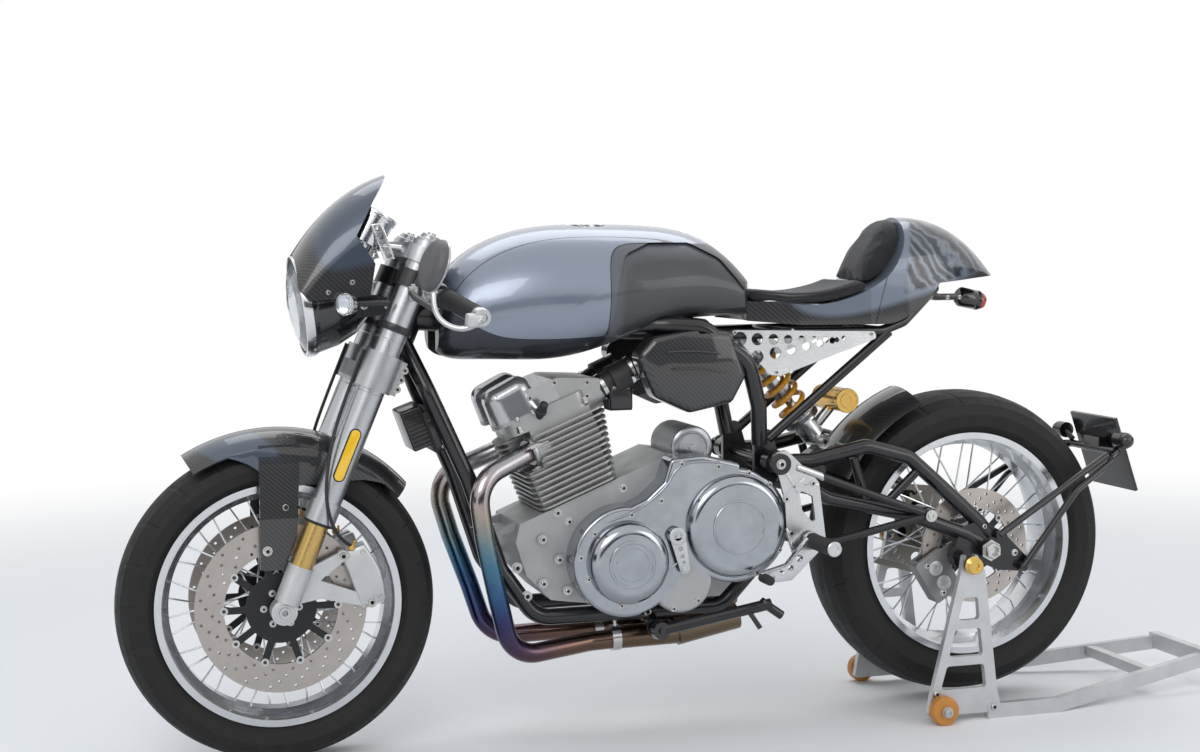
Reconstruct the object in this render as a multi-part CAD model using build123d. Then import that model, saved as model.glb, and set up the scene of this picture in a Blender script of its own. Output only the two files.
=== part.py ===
from build123d import *
import os
from math import asin, atan2, cos, degrees, hypot, pi, radians, sin, sqrt, tan

os.makedirs("parts", exist_ok=True)

# Cafe racer motorcycle on its paddock stand, millimetres.
# It faces -X, its left side is -Y, the floor is at z = 0 and y = 0 is its middle plane.
# x = 0 in this file is the middle of the wheelbase; origin_shift moves it to the middle of the length.

wheelbase = 1420.0
origin_shift = -131.5
clearance = 0.3          # seat between two pieces that are bolted or pushed together
running_gap = 0.08       # radial play of a shaft in its bore
moving_gap = 6.0         # room round what turns

# Wheels
front_tyre_radius = 300.0
front_tyre_width = 120.0
rear_tyre_radius = 315.0
rear_tyre_width = 180.0
rear_lift = 26.8         # height of the rear tyre above the floor on the stand
front_rim_width = 100.0
rear_rim_width = 152.0
rim_flange_radius = 231.0
rim_wall = 4.0
rim_well_radius = 207.0
bead_depth = 9.0
spoke_radius = 1.9
spokes_per_wheel = 36
axle_radius = 10.0
axle_bore = 6.0
front_hub_radius = 27.0
front_hub_width = 124.0
front_flange_radius = 44.0
rear_hub_radius = 32.0
rear_hub_width = 172.0
rear_flange_radius = 50.0
flange_thickness = 5.0

# Brakes
front_disc_radius = 160.0
front_disc_inner = 106.0
front_disc_y = 70.0
disc_thickness = 5.0
rear_disc_radius = 118.0
rear_disc_inner = 76.0
rear_disc_y = -97.0

# Fork and steering
rake = 22.8
fork_offset = 32.0       # axle line ahead of the steering axis
leg_y = 103.0
outer_tube_radius = 27.0
inner_tube_radius = 21.5
outer_tube_low = 178.0   # heights along the fork from the axle
outer_tube_top = 734.0
collar_height = 40.0
foot_top = 89.0
foot_radius = 24.0
lower_yoke_low = 442.0
lower_yoke_high = 512.0
upper_yoke_low = 692.0
upper_yoke_high = 722.0
clip_on_low = 642.0
clip_on_high = 676.0
yoke_clamp_radius = 36.0
stem_radius = 15.0
head_tube_radius = 31.0

# Frame and rear end
tube_radius = 16.0
rail_y = 80.0
rail_height = 250.0
arch_y = 120.0
seat_rail_radius = 10.0
seat_rail_y = 98.0
pivot_x, pivot_z = 250.0, 539.0
pivot_radius = 21.0
pivot_bolt_radius = 9.0
swing_y = 134.0
swing_radius = 15.0
spool_x, spool_z = 655.0, 319.0
spool_radius = 10.0

# Engine
engine_half_width = 98.0
cylinder_lean = 22.0
barrel_base = (-131.4, 486.7)
barrel_height = 80.0
finned_head_height = 77.0
head_height = 108.0      # fins and the casting above them, up to the rocker covers
port_y = 75.0
port_back = 50.0         # flange of an exhaust port ahead of the cylinder axis
port_radius = 26.0
intake_y = 53.0
pipe_radius = 19.0
pipe_bend = 68.0
fin_pitch = 11.5
fin_thickness = 3.6
cylinder_half_width = 106.0

# Drive chain
chain_pitch = 15.875
rear_teeth = 36
front_teeth = 17
chain_y = 109.0
front_sprocket = (154.9, 452.0)
roller_radius = 4.9

front_axle = (-wheelbase / 2, front_tyre_radius)
rear_axle = (wheelbase / 2, rear_tyre_radius + rear_lift)


# Plain building blocks

def rod(start, end, radius):
    start, end = Vector(*start), Vector(*end)
    return Part() + Solid.make_cylinder(radius, (end - start).length, Plane(start, z_dir=end - start))


def tube(points, radius, bend):
    # straight runs joined by tangent bends
    path = FilletPolyline(*points, radius=bend)
    start = Plane(path @ 0, z_dir=path % 0)
    return sweep(start * Circle(radius), path=path)


def plate(points, y_low, y_high):
    # flat plate whose outline (x, z) stands in the XZ plane
    outline = make_face(Polyline(*points, close=True))
    return extrude(Plane.XZ.offset(-y_high) * outline, y_high - y_low)


def rounded_plate(points, y_low, y_high, corner):
    outline = make_face(Polyline(*points, close=True))
    outline = fillet(outline.vertices(), corner)
    return extrude(Plane.XZ.offset(-y_high) * outline, y_high - y_low)


def across(x, z, radius, y_low, y_high):
    # round bar along Y
    return rod((x, y_low, z), (x, y_high, z), radius)


def lathe(points, centre, low_angle=0.0, high_angle=360.0):
    # (radius, y) outline turned about the Y line through centre, angles from +X towards +Z
    outline = make_face(Polyline(*points, close=True))
    turned = revolve(outline, Axis.Y, high_angle - low_angle)
    return Pos(centre[0], 0, centre[1]) * Rot(0, -high_angle, 0) * turned


def both_sides(shape):
    return Part() + [shape, mirror(shape, about=Plane.XZ)]


def on_fork(back, y, up):
    # a point given in the fork's own frame: behind the steering axis, across, and up from the axle
    return (
        front_axle[0] + fork_offset * cos(radians(rake)) + back * cos(radians(rake)) + up * sin(radians(rake)),
        y,
        front_axle[1] - fork_offset * sin(radians(rake)) - back * sin(radians(rake)) + up * cos(radians(rake)),
    )


fork_frame = Plane(
    on_fork(0, 0, 0),
    x_dir=(cos(radians(rake)), 0, -sin(radians(rake))),
    z_dir=(sin(radians(rake)), 0, cos(radians(rake))),
)


def fork_bar(back, y, low, high, radius):
    return rod(on_fork(back, y, low), on_fork(back, y, high), radius)


def arch_section(x, half_width, low, middle, top, shoulder):
    # closed outline in a plane across X: flat underside, quarter-round sides, shoulders and a crown
    side = middle - low
    rise = top - middle
    crown = (rise**2 - shoulder**2 + (half_width - shoulder) ** 2) / (2 * (rise - shoulder))
    lean = atan2(half_width - shoulder, middle - (top - crown))
    meet_y, meet_z = crown * sin(lean), top - crown + crown * cos(lean)
    halfway = (pi / 2 - lean) / 2
    bow_y = half_width - shoulder + shoulder * cos(halfway)
    bow_z = middle + shoulder * sin(halfway)
    root_half = sqrt(0.5)
    low_y, low_z = half_width - side + side * root_half, middle - side * root_half
    edges = [
        Line((side - half_width, low), (half_width - side, low)),
        ThreePointArc((half_width - side, low), (low_y, low_z), (half_width, middle)),
        ThreePointArc((half_width, middle), (bow_y, bow_z), (meet_y, meet_z)),
        ThreePointArc((meet_y, meet_z), (0, top), (-meet_y, meet_z)),
        ThreePointArc((-meet_y, meet_z), (-bow_y, bow_z), (-half_width, middle)),
        ThreePointArc((-half_width, middle), (-low_y, low_z), (side - half_width, low)),
    ]
    return Plane((x, 0, 0), x_dir=(0, 1, 0), z_dir=(1, 0, 0)) * make_face(edges)


# Wheels

def tyre(radius, width, rim_width, centre):
    # share of the height above the flange, share of the half width
    profile = [(0.16, 0.93), (0.45, 1.0), (0.7, 0.93), (0.88, 0.68), (0.97, 0.38), (1.0, 0.1)]
    half = width / 2
    bead = rim_width / 2 - rim_wall - 2 * clearance
    seat = rim_flange_radius - bead_depth + clearance
    flange = rim_flange_radius + 1.0
    side = [(flange + rise * (radius - flange), spread * half) for rise, spread in profile]
    outline = [(seat, bead), (flange, bead)] + side
    return lathe(outline + [(r, -y) for r, y in reversed(outline)], centre)


def wire_wheel(rim_width, hub_radius, hub_width, flange_radius, centre):
    half = rim_width / 2
    seat = rim_flange_radius - bead_depth
    well = 0.36 * half
    outer = [(rim_flange_radius, half), (rim_flange_radius, half - rim_wall), (seat, half - rim_wall),
             (seat - 3, 0.62 * half), (rim_well_radius, well)]
    inner = [(rim_well_radius - rim_wall, well), (seat - rim_wall - 3, 0.62 * half + rim_wall),
             (seat - rim_wall, half)]
    right = outer + [(r, -y) for r, y in reversed(outer)]
    left = [(r, -y) for r, y in reversed(inner)] + inner
    wheel = lathe(right + left, (0, 0))
    hub_half = hub_width / 2
    flange_y = 0.5 * hub_half
    wheel += across(0, 0, hub_radius, -hub_half, hub_half)
    for y in (-flange_y, flange_y):
        wheel += across(0, 0, flange_radius, y - flange_thickness / 2, y + flange_thickness / 2)
    wires = []
    for number in range(spokes_per_wheel):
        side = 1 if number % 2 else -1
        sweep_back = 1 if number % 4 < 2 else -1
        rim_angle = 2 * pi * (number + 0.5) / spokes_per_wheel
        hub_angle = rim_angle + sweep_back * radians(52)
        hub_end = Vector((flange_radius - 5) * cos(hub_angle), side * flange_y, (flange_radius - 5) * sin(hub_angle))
        rim_end = Vector((rim_well_radius - 1.5) * cos(rim_angle), side * 0.15 * half,
                         (rim_well_radius - 1.5) * sin(rim_angle))
        run = Plane(hub_end, z_dir=rim_end - hub_end)
        wires.append(extrude(run * RegularPolygon(spoke_radius, 5), (rim_end - hub_end).length))
    wheel += wires
    wheel -= across(0, 0, axle_radius + running_gap, -hub_half - 1, hub_half + 1)
    return Pos(centre[0], 0, centre[1]) * wheel


def brake_disc(radius, inner, y, bolt_circle, arms, centre):
    low, high = y - disc_thickness / 2, y + disc_thickness / 2
    ring = across(0, 0, radius, low, high) - across(0, 0, inner, low - 1, high + 1)
    carrier = across(0, 0, bolt_circle, low + 0.5, high - 0.5)
    for number in range(arms):
        angle = 360 * number / arms
        carrier += Rot(0, angle, 0) * Pos((bolt_circle + inner) / 2, y, 0) * Box(inner - bolt_circle + 16, 4, 13)
        carrier += Rot(0, angle, 0) * across(inner, 0, 7.5, low - 1, high + 1)
    disc = ring + carrier
    return Pos(centre[0], 0, centre[1]) * disc


def front_discs():
    hub_side = front_hub_width / 2
    disc = brake_disc(front_disc_radius, front_disc_inner, front_disc_y, 66, 10, front_axle)
    spacer = across(*front_axle, 40, hub_side + clearance, front_disc_y)
    bore = across(*front_axle, axle_radius + 4, 0, front_disc_y + 10)
    return both_sides(disc + spacer - bore)


def rear_disc():
    disc = brake_disc(rear_disc_radius, rear_disc_inner, rear_disc_y, 52, 8, rear_axle)
    hub_side = -rear_hub_width / 2 - clearance
    spacer = across(*rear_axle, 44, rear_disc_y, hub_side)
    return disc + spacer - across(*rear_axle, axle_radius + 4, rear_disc_y - 10, 0)


# Chain drive

def pitch_radius(teeth):
    return chain_pitch / (2 * sin(pi / teeth))


def sprocket(teeth, y, centre, thickness=5.0, turned=0.0):
    # a round seat for each roller, opening outwards between the teeth
    radius = pitch_radius(teeth)
    root = roller_radius + 0.6
    seats = Pos(radius, 0) * Circle(root)
    seats += make_face(Polyline((radius, -root), (radius + 6, -root - 1.3), (radius + 6, root + 1.3), (radius, root),
                                close=True))
    gear = Circle(radius + 4.2) - [Rot(0, 0, 360 * n / teeth + degrees(turned)) * seats for n in range(teeth)]
    return Pos(centre[0], 0, centre[1]) * extrude(Plane.XZ.offset(-y - thickness / 2) * gear, thickness)


def chain_path():
    # slope of the centre line, half the difference of wrap, and length of one straight run
    dx, dz = rear_axle[0] - front_sprocket[0], rear_axle[1] - front_sprocket[1]
    span = hypot(dx, dz)
    grow = pitch_radius(rear_teeth) - pitch_radius(front_teeth)
    return atan2(dz, dx), asin(grow / span), sqrt(span**2 - grow**2)


def rear_sprocket():
    slope, wrap, run = chain_path()
    gear = sprocket(rear_teeth, chain_y, rear_axle, turned=slope + wrap + pi / 2)
    windows = [
        Pos(rear_axle[0], 0, rear_axle[1]) * Rot(0, 60 * n, 0) * across(66, 0, 12, chain_y - 9, chain_y + 9)
        for n in range(6)
    ]
    carrier = across(*rear_axle, 46, rear_hub_width / 2 + clearance, chain_y)
    bore = across(*rear_axle, axle_radius + 4, 0, chain_y + 20)
    return gear - windows + carrier - bore


def gearbox_sprocket():
    slope, wrap, run = chain_path()
    gear = sprocket(front_teeth, chain_y, front_sprocket, turned=slope - wrap - pi / 2)
    return gear + across(*front_sprocket, 16, engine_half_width + clearance, chain_y + 9)


def drive_chain():
    # two side bands and a roller at each pitch
    rear_r, front_r = pitch_radius(rear_teeth), pitch_radius(front_teeth)
    slope, wrap, run = chain_path()

    def loop(offset):
        big, small = rear_r + offset, front_r + offset
        up, down = slope + wrap + pi / 2, slope - wrap - pi / 2
        spots = [
            (centre[0] + radius * cos(angle), centre[1] + radius * sin(angle))
            for centre, radius, angle in (
                (front_sprocket, small, up), (rear_axle, big, up), (rear_axle, big, slope),
                (rear_axle, big, down), (front_sprocket, small, down), (front_sprocket, small, slope + pi),
            )
        ]
        return make_face([
            Line(spots[0], spots[1]), ThreePointArc(*spots[1:4]),
            Line(spots[3], spots[4]), ThreePointArc(spots[4], spots[5], spots[0]),
        ])

    band = loop(6.0) - loop(-6.0)
    chain = Part()
    for y in (chain_y - 7.5, chain_y + 4.5):
        chain += extrude(Plane.XZ.offset(-y - 3.0) * band, 3.0)
    rear_arc, front_arc = pi + 2 * wrap, pi - 2 * wrap
    up = slope + wrap + pi / 2
    # one pin in each seat of both sprockets, the others evenly along the straight runs
    total = rear_arc * rear_r + front_arc * front_r + 2 * run
    rear_step, front_step = 2 * pi * rear_r / rear_teeth, 2 * pi * front_r / front_teeth
    reach = rear_arc * rear_r + run
    places = [n * rear_step for n in range(int(rear_arc * rear_r / rear_step) + 1)]
    seated = [reach + n * front_step for n in range(int(front_arc * front_r / front_step) + 1)]
    for last, following in ((places[-1], reach), (seated[-1], total)):
        count = round((following - last) / chain_pitch)
        places += [last + (following - last) * n / count for n in range(1, count)]
    places += seated
    pins = []
    for along in places:
        if along < rear_arc * rear_r:
            angle = up - along / rear_r
            x, z = rear_axle[0] + rear_r * cos(angle), rear_axle[1] + rear_r * sin(angle)
        elif along < rear_arc * rear_r + run:
            left = along - rear_arc * rear_r
            angle = up - rear_arc
            x = rear_axle[0] + rear_r * cos(angle) - left * cos(slope - wrap)
            z = rear_axle[1] + rear_r * sin(angle) - left * sin(slope - wrap)
        elif along < rear_arc * rear_r + run + front_arc * front_r:
            angle = up - rear_arc - (along - rear_arc * rear_r - run) / front_r
            x, z = front_sprocket[0] + front_r * cos(angle), front_sprocket[1] + front_r * sin(angle)
        else:
            left = along - rear_arc * rear_r - run - front_arc * front_r
            x = front_sprocket[0] + front_r * cos(up) + left * cos(slope + wrap)
            z = front_sprocket[1] + front_r * sin(up) + left * sin(slope + wrap)
        pin = Plane.XZ.offset(-chain_y - 6.5) * Pos(x, z) * RegularPolygon(roller_radius - 0.2, 6)
        pins.append(extrude(pin, 13.0))
    return chain + pins


# Fork, yokes and what turns with them

def fork_outers():
    leg = fork_bar(-fork_offset, leg_y, outer_tube_low, outer_tube_top, outer_tube_radius)
    leg += fork_bar(-fork_offset, leg_y, outer_tube_low, outer_tube_low + collar_height, outer_tube_radius + 3)
    leg += fork_bar(-fork_offset, leg_y, outer_tube_top, outer_tube_top + 10, outer_tube_radius - 8)
    leg -= fork_bar(-fork_offset, leg_y, outer_tube_low, outer_tube_low + collar_height,
                    inner_tube_radius + clearance)
    return both_sides(leg)


def fork_inners():
    return both_sides(fork_bar(-fork_offset, leg_y, foot_top, outer_tube_low + collar_height - clearance,
                               inner_tube_radius))


caliper_width = 38.0
arm_y = front_disc_y + caliper_width / 2 + clearance
caliper_centre = (-560.0, 354.0)


def fork_feet():
    foot = fork_bar(-fork_offset, leg_y, 16, foot_top, foot_radius)
    foot += across(*front_axle, 24, leg_y - 17, leg_y + 17)
    arm = plate([(-700, 352), (-672, 372), (-604, 402), (-588, 392), (-640, 352), (-560, 322), (-538, 312),
                 (-546, 296), (-640, 318), (-706, 306)], arm_y, arm_y + 11)
    foot += arm - fork_bar(-fork_offset, leg_y, foot_top, 200, inner_tube_radius + clearance)
    foot += across(-597, 396, 11, arm_y, arm_y + 11) + across(-545, 306, 11, arm_y, arm_y + 11)
    feet = both_sides(foot) + across(*front_axle, axle_radius, -leg_y - 24, leg_y + 24)
    return feet - across(*front_axle, axle_bore, -leg_y - 24, leg_y + 24)


def front_calipers():
    lean = degrees(atan2(caliper_centre[1] - front_axle[1], caliper_centre[0] - front_axle[0]))
    block = Box(62, caliper_width, 118)
    block = fillet(block.edges().filter_by(Axis.Y), 6)
    block -= Pos(-8, 0, 0) * Box(50, disc_thickness + 2 * moving_gap, 130)
    caliper = Pos(caliper_centre[0], front_disc_y, caliper_centre[1]) * Rot(0, -lean, 0) * block
    return both_sides(caliper)


def yokes():
    legs = [Pos(-fork_offset, y) * Circle(yoke_clamp_radius) for y in (-leg_y, leg_y)]
    stem = Circle(stem_radius + 15)
    web = make_hull((Sketch() + legs + [stem]).edges())
    lower = extrude(Plane.XY.offset(lower_yoke_low + 8) * web, 30)
    upper = extrude(Plane.XY.offset(upper_yoke_low) * web, upper_yoke_high - upper_yoke_low)
    body = lower + upper
    for y in (-leg_y, leg_y):
        body += Pos(-fork_offset, y, (lower_yoke_low + lower_yoke_high) / 2) * Cylinder(
            yoke_clamp_radius, lower_yoke_high - lower_yoke_low)
        body += Pos(-fork_offset + yoke_clamp_radius, y, (lower_yoke_low + lower_yoke_high) / 2) * Box(
            18, 24, lower_yoke_high - lower_yoke_low - 4)
    body += Pos(0, 0, (lower_yoke_low + upper_yoke_high + 14) / 2) * Cylinder(
        stem_radius, upper_yoke_high + 14 - lower_yoke_low)
    for y in (-leg_y, leg_y):
        body -= Pos(-fork_offset, y, 600) * Cylinder(outer_tube_radius + clearance, 700)
    return fork_frame.location * body


bar_root = (-441.0, 134.0, 898.0)
bar_end = (-387.0, 384.0, 846.0)


def along(start, end, share):
    return tuple(a + (b - a) * share for a, b in zip(start, end))


def handlebars():
    clamp = fork_bar(-fork_offset, leg_y, clip_on_low, clip_on_high, outer_tube_radius + 7)
    clamp += rod(along(bar_root, bar_end, -0.08), along(bar_root, bar_end, 0.06), 15)
    clamp -= fork_bar(-fork_offset, leg_y, clip_on_low - 9, clip_on_high + 9, outer_tube_radius + clearance)
    bar = rod(bar_root, along(bar_root, bar_end, 0.96), 11)
    grip = rod(along(bar_root, bar_end, 0.42), along(bar_root, bar_end, 0.92), 16.5)
    perch = rod(along(bar_root, bar_end, 0.14), along(bar_root, bar_end, 0.3), 18)
    x, y, z = along(bar_root, bar_end, 0.22)
    reservoir = rod((x - 34, y - 4, z + 2), (x - 14, y - 4, z + 40), 15)
    lever = tube([(x - 10, y, z), (x - 48, y + 6, z + 2), (x - 52, y + 60, z - 6), (x - 26, y + 150, z - 30)], 6, 14)
    return both_sides(clamp + bar + grip + perch + reservoir + lever)


def mirrors():
    tip = Vector(*bar_end)
    stub = rod(along(bar_root, bar_end, 0.961), bar_end, 12)
    arm = tube([
        tip - Vector(3, 0, 1), tip + Vector(-30, -8, -16), tip + Vector(-66, -20, 0), tip + Vector(-82, -36, 40),
        tip + Vector(-76, -46, 78),
    ], 5, 16)
    face = Vector(0.93, -0.18, -0.3)
    hub = tip + Vector(-74, -50, 92)
    glass = rod(hub - face * 9, hub + face * 5, 48)
    glass += rod(hub - face * 16, hub - face * 8, 34)
    return both_sides(stub + arm + glass)


lens_centre = (-655.0, 859.0)
lamp_radius = 93.0
lamp_tilt = 8.3
lamp_frame = Plane(
    (lens_centre[0], 0, lens_centre[1]),
    x_dir=(-sin(radians(lamp_tilt)), 0, cos(radians(lamp_tilt))),
    z_dir=(cos(radians(lamp_tilt)), 0, sin(radians(lamp_tilt))),
)


def turned_on_lamp(points):
    outline = make_face(Plane.XZ * Polyline(*points, close=True))
    return lamp_frame.location * revolve(outline, Axis.Z, 360)


def headlight_shell():
    bowl = turned_on_lamp([
        (lamp_radius, -4), (lamp_radius + 3, 0), (lamp_radius + 3, 14), (lamp_radius - 1, 22), (84, 60),
        (68, 96), (44, 122), (0, 132), (0, 128), (41, 118), (65, 93), (81, 58), (lamp_radius - 4, 20),
        (lamp_radius - 4, 8), (lamp_radius - 4, -4),
    ])
    ear = plate([(-560, 838), (-482, 846), (-482, 874), (-560, 884)], 74, 79)
    ear += rod((-545, 60, 861), (-545, 79, 861), 8)
    hollow = lamp_frame.location * Pos(0, 0, 60) * Cone(lamp_radius - 8, 60, 100)
    return bowl + both_sides(ear - fork_bar(-fork_offset, leg_y, 500, 700, outer_tube_radius + clearance) - hollow)


def headlight_lens():
    return turned_on_lamp([
        (0, -20), (32, -18), (62, -12), (84, -3), (lamp_radius - 4 - clearance, 0), (lamp_radius - 4 - clearance, 5),
        (0, -12),
    ])


def cowl_section(x, half_width, top, low, wall):
    centre = top - half_width
    inner = half_width - wall
    edges = [
        Line((-half_width, low), (-half_width, centre)),
        ThreePointArc((-half_width, centre), (0, top), (half_width, centre)),
        Line((half_width, centre), (half_width, low)),
        Line((half_width, low), (inner, low)),
        Line((inner, low), (inner, centre)),
        ThreePointArc((inner, centre), (0, top - wall), (-inner, centre)),
        Line((-inner, centre), (-inner, low)),
        Line((-inner, low), (-half_width, low)),
    ]
    return Plane((x, 0, 0), x_dir=(0, 1, 0), z_dir=(1, 0, 0)) * make_face(edges)


def cowl():
    # x, half width, top of each section of the fly-screen
    sections = [(-668, 99, 957), (-632, 103, 1007), (-580, 105, 1058), (-532, 104, 1089), (-487, 100, 1107)]
    shell = loft([cowl_section(x, w, top, 820, 3.0) for x, w, top in sections])
    keep = plate([(-680, 905), (-648, 872), (-536, 880), (-526, 940), (-560, 992), (-524, 1056), (-480, 1120),
                  (-680, 1120)], -120, 120)
    keep -= lamp_frame.location * Pos(0, 0, -20) * Cylinder(lamp_radius + 3 + clearance, 80)
    return shell & keep


def gauges():
    axis = Vector(0.5, 0, 0.866)
    foot = Vector(-541, 46, 980)
    dial = rod(foot, foot + axis * 50, 37) + rod(foot + axis * 50, foot + axis * 60, 40)
    dial += rod(foot - axis * 14, foot, 22)
    bracket = rod(foot - axis * 8, on_fork(-62, 46, upper_yoke_high - 12), 7)
    bracket += rod(on_fork(-67, 46, upper_yoke_high - 15), on_fork(-46, 46, upper_yoke_high - 15), 6)
    return both_sides(dial + bracket - fork_bar(-fork_offset, leg_y, 500, 800, 60)) - yokes()


def front_indicators():
    lamp = rod((-612, 150, 866), (-576, 150, 868), 20)
    stalk = rod((-578, 150, 868), (-505, 128, 868), 6)
    hold = fork_bar(-fork_offset, leg_y, 556, 570, outer_tube_radius + 5)
    hold += rod((-508, 129, 867), on_fork(-fork_offset, leg_y + 25, 563), 6)
    hold -= fork_bar(-fork_offset, leg_y, 520, 620, outer_tube_radius + clearance)
    reflector_low, reflector_high = 250, 330
    pad = rod(on_fork(-fork_offset, leg_y + 24, reflector_low), on_fork(-fork_offset, leg_y + 24, reflector_high), 11)
    pad -= fork_bar(-fork_offset, leg_y, 200, 400, outer_tube_radius + clearance)
    return both_sides(lamp + stalk + hold) + both_sides(pad)


guard_radius = 333.0


def front_mudguard():
    outline = make_face([
        ThreePointArc((300, -67), (guard_radius, 0), (300, 67)),
        Line((300, 67), (297, 64)),
        ThreePointArc((297, 64), (guard_radius - 3, 0), (297, -64)),
        Line((297, -64), (300, -67)),
    ])
    guard = Pos(front_axle[0], 0, front_axle[1]) * Rot(0, -121, 0) * revolve(outline, Axis.Y, 80)
    side = Plane.YZ.offset(-749) * make_face(Polyline(
        (84, 374), (88, 374), (88, 470), (71, 570), (67, 606), (58, 606), (58, 602), (64, 598), (67, 566),
        (84, 466), close=True))
    stay = extrude(side, 90)
    stay = stay & plate([(-749, 376), (-694, 364), (-680, 430), (-668, 610), (-745, 610)], 50, 100)
    stay -= fork_bar(-fork_offset, leg_y, 0, foot_top + 1, foot_radius + clearance)
    stay -= fork_bar(-fork_offset, leg_y, foot_top, 400, outer_tube_radius + 3 + clearance)
    stay -= lathe([(0, -65), (292, -65), (292, 65), (0, 65)], front_axle)
    return guard + both_sides(stay)


hose_radius = 3.2
hose_bend = 24.0


def brake_hoses():
    front = -fork_offset - yoke_clamp_radius - hose_radius - clearance
    points = [on_fork(front, leg_y, lower_yoke_high - 6), on_fork(front, leg_y, 380), on_fork(front + 8, 124, 300),
              on_fork(-fork_offset - 10, 140, 218), on_fork(8, 136, 160), (caliper_centre[0] - 20, 100, 414)]
    hose = tube(points, hose_radius, hose_bend)
    length = FilletPolyline(*points, radius=hose_bend).length
    print(f"brake hose: bend radius {hose_bend} mm, length {length:.0f} mm, volume {hose.volume:.0f} mm3, "
          f"section times length {pi * hose_radius**2 * length:.0f} mm3")
    return both_sides(hose)


# Frame

def mirrored_tube(points, radius, bend):
    return both_sides(tube(points, radius, bend))


stand_pivot = (8.0, -150.0, 222.0)
stand_axis = (-0.1267, 0.9859, -0.1094)
stand_pin_radius = 6.0
cradle_path = [on_fork(8, 24, 545), (-424, 62, 696), (-350, 72, 526), (-292, rail_y, 349),
               (-222, rail_y, rail_height), (160, rail_y, rail_height), (236, rail_y, 330), (252, rail_y, 500)]
arch_path = [(-60, 24, 806), (30, 110, 814), (110, arch_y, 808), (205, arch_y, 735), (229, 112, 650),
             (238, rail_y + 12, 572)]
pivot_plate_y = (rail_y + 4, rail_y + 16)


def stand_pin(radius, start, finish):
    middle, way = Vector(*stand_pivot), Vector(*stand_axis)
    return rod(middle + way * start, middle + way * finish, radius)


def main_frame():
    head_low, head_high = lower_yoke_high + 4, upper_yoke_low - 4
    frame = fork_bar(0, 0, head_low, head_high, head_tube_radius)
    frame += tube([on_fork(10, 0, 600), (-330, 0, 826), (110, 0, 800)], 27, 120)
    frame += mirrored_tube(cradle_path, tube_radius, 55)
    frame += mirrored_tube(arch_path, tube_radius, 60)
    frame += rod((110, -arch_y, 808), (110, arch_y, 808), tube_radius)
    frame += rod((0, -rail_y, rail_height), (0, rail_y, rail_height), 12)
    plate_shape = rounded_plate([(226, 600), (226, 512), (236, 480), (268, 480), (282, 530), (262, 600)], *pivot_plate_y, 12)
    frame += both_sides(plate_shape)
    frame += plate([(-16, 240), (30, 240), (22, 208), (-6, 208)], stand_pivot[1] + 16, stand_pivot[1] + 24)
    frame += rod((8, -rail_y, rail_height - 8), (8, stand_pivot[1] + 20, 226), 11)
    frame += stand_pin(stand_pin_radius, -14, 20)
    frame -= across(pivot_x, pivot_z, pivot_bolt_radius + clearance, -200, 200)
    frame -= fork_bar(0, 0, head_low - 9, head_high + 9, stem_radius + clearance)
    return frame


seat_rail_path = [(140, seat_rail_y, 790), (500, seat_rail_y, 790), (556, 82, 806), (612, 62, 850), (646, 40, 872)]


def rear_subframe():
    rail = tube(seat_rail_path, seat_rail_radius, 40)
    brace = rod((256, rail_y + 12, 580), (516, seat_rail_y, 788), seat_rail_radius)
    frame = both_sides(rail + brace)
    frame += rod((500, -seat_rail_y, 790), (500, seat_rail_y, 790), 9)
    frame += rod((300, -seat_rail_y, 791), (300, seat_rail_y, 791), 9)
    frame += rod((646, -40, 872), (646, 40, 872), seat_rail_radius)
    return frame - main_frame()


def swingarm():
    upper = [(pivot_x, swing_y, pivot_z), (330, swing_y, 538), (450, swing_y, 562), (543, swing_y, 536),
             (600, swing_y, 486), (700, swing_y, 396), (722, swing_y, 368)]
    lower = [(pivot_x + 12, swing_y, 526), (366, swing_y, 462), (544, swing_y, 420), (672, swing_y, 372),
             (700, swing_y, 356)]
    arm = tube(upper, swing_radius, 40) + tube(lower, swing_radius, 40)
    for low, high in (((450, 442), (423, 540)), ((482, 435), (561, 506))):
        arm += rod((low[0], swing_y, low[1]), (high[0], swing_y, high[1]), 9)
    arm += across(pivot_x, pivot_z, pivot_radius, chain_y + 9, swing_y + 16)
    arm += rounded_plate([(655, 388), (700, 402), (752, 372), (806, 318), (798, 290), (740, 296), (690, 318),
                          (646, 304), (636, 330)], swing_y - 11, swing_y + 11, 10)
    arm += across(572, 421, 16, swing_y - 14, swing_y + 22)
    arm += across(spool_x, spool_z, spool_radius, swing_y + 11, 196) + across(spool_x, spool_z, 17, 190, 196)
    arm += across(*rear_axle, 19, swing_y + 11, 166)
    arms = both_sides(arm)
    arms += rod((345, -swing_y, 517), (345, swing_y, 517), 18)
    arms += across(*rear_axle, axle_radius, -166, 166)
    arms += across(pivot_x, pivot_z, pivot_bolt_radius, -swing_y, swing_y)
    arms += plate([(345, 517), (392, 548), (410, 572), (416, 560), (400, 536), (352, 500)], -16, 16)
    return arms - across(*rear_axle, axle_bore, -166, 166)


shock_top, shock_foot = (238, 0, 780), (401, 0, 562)


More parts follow.
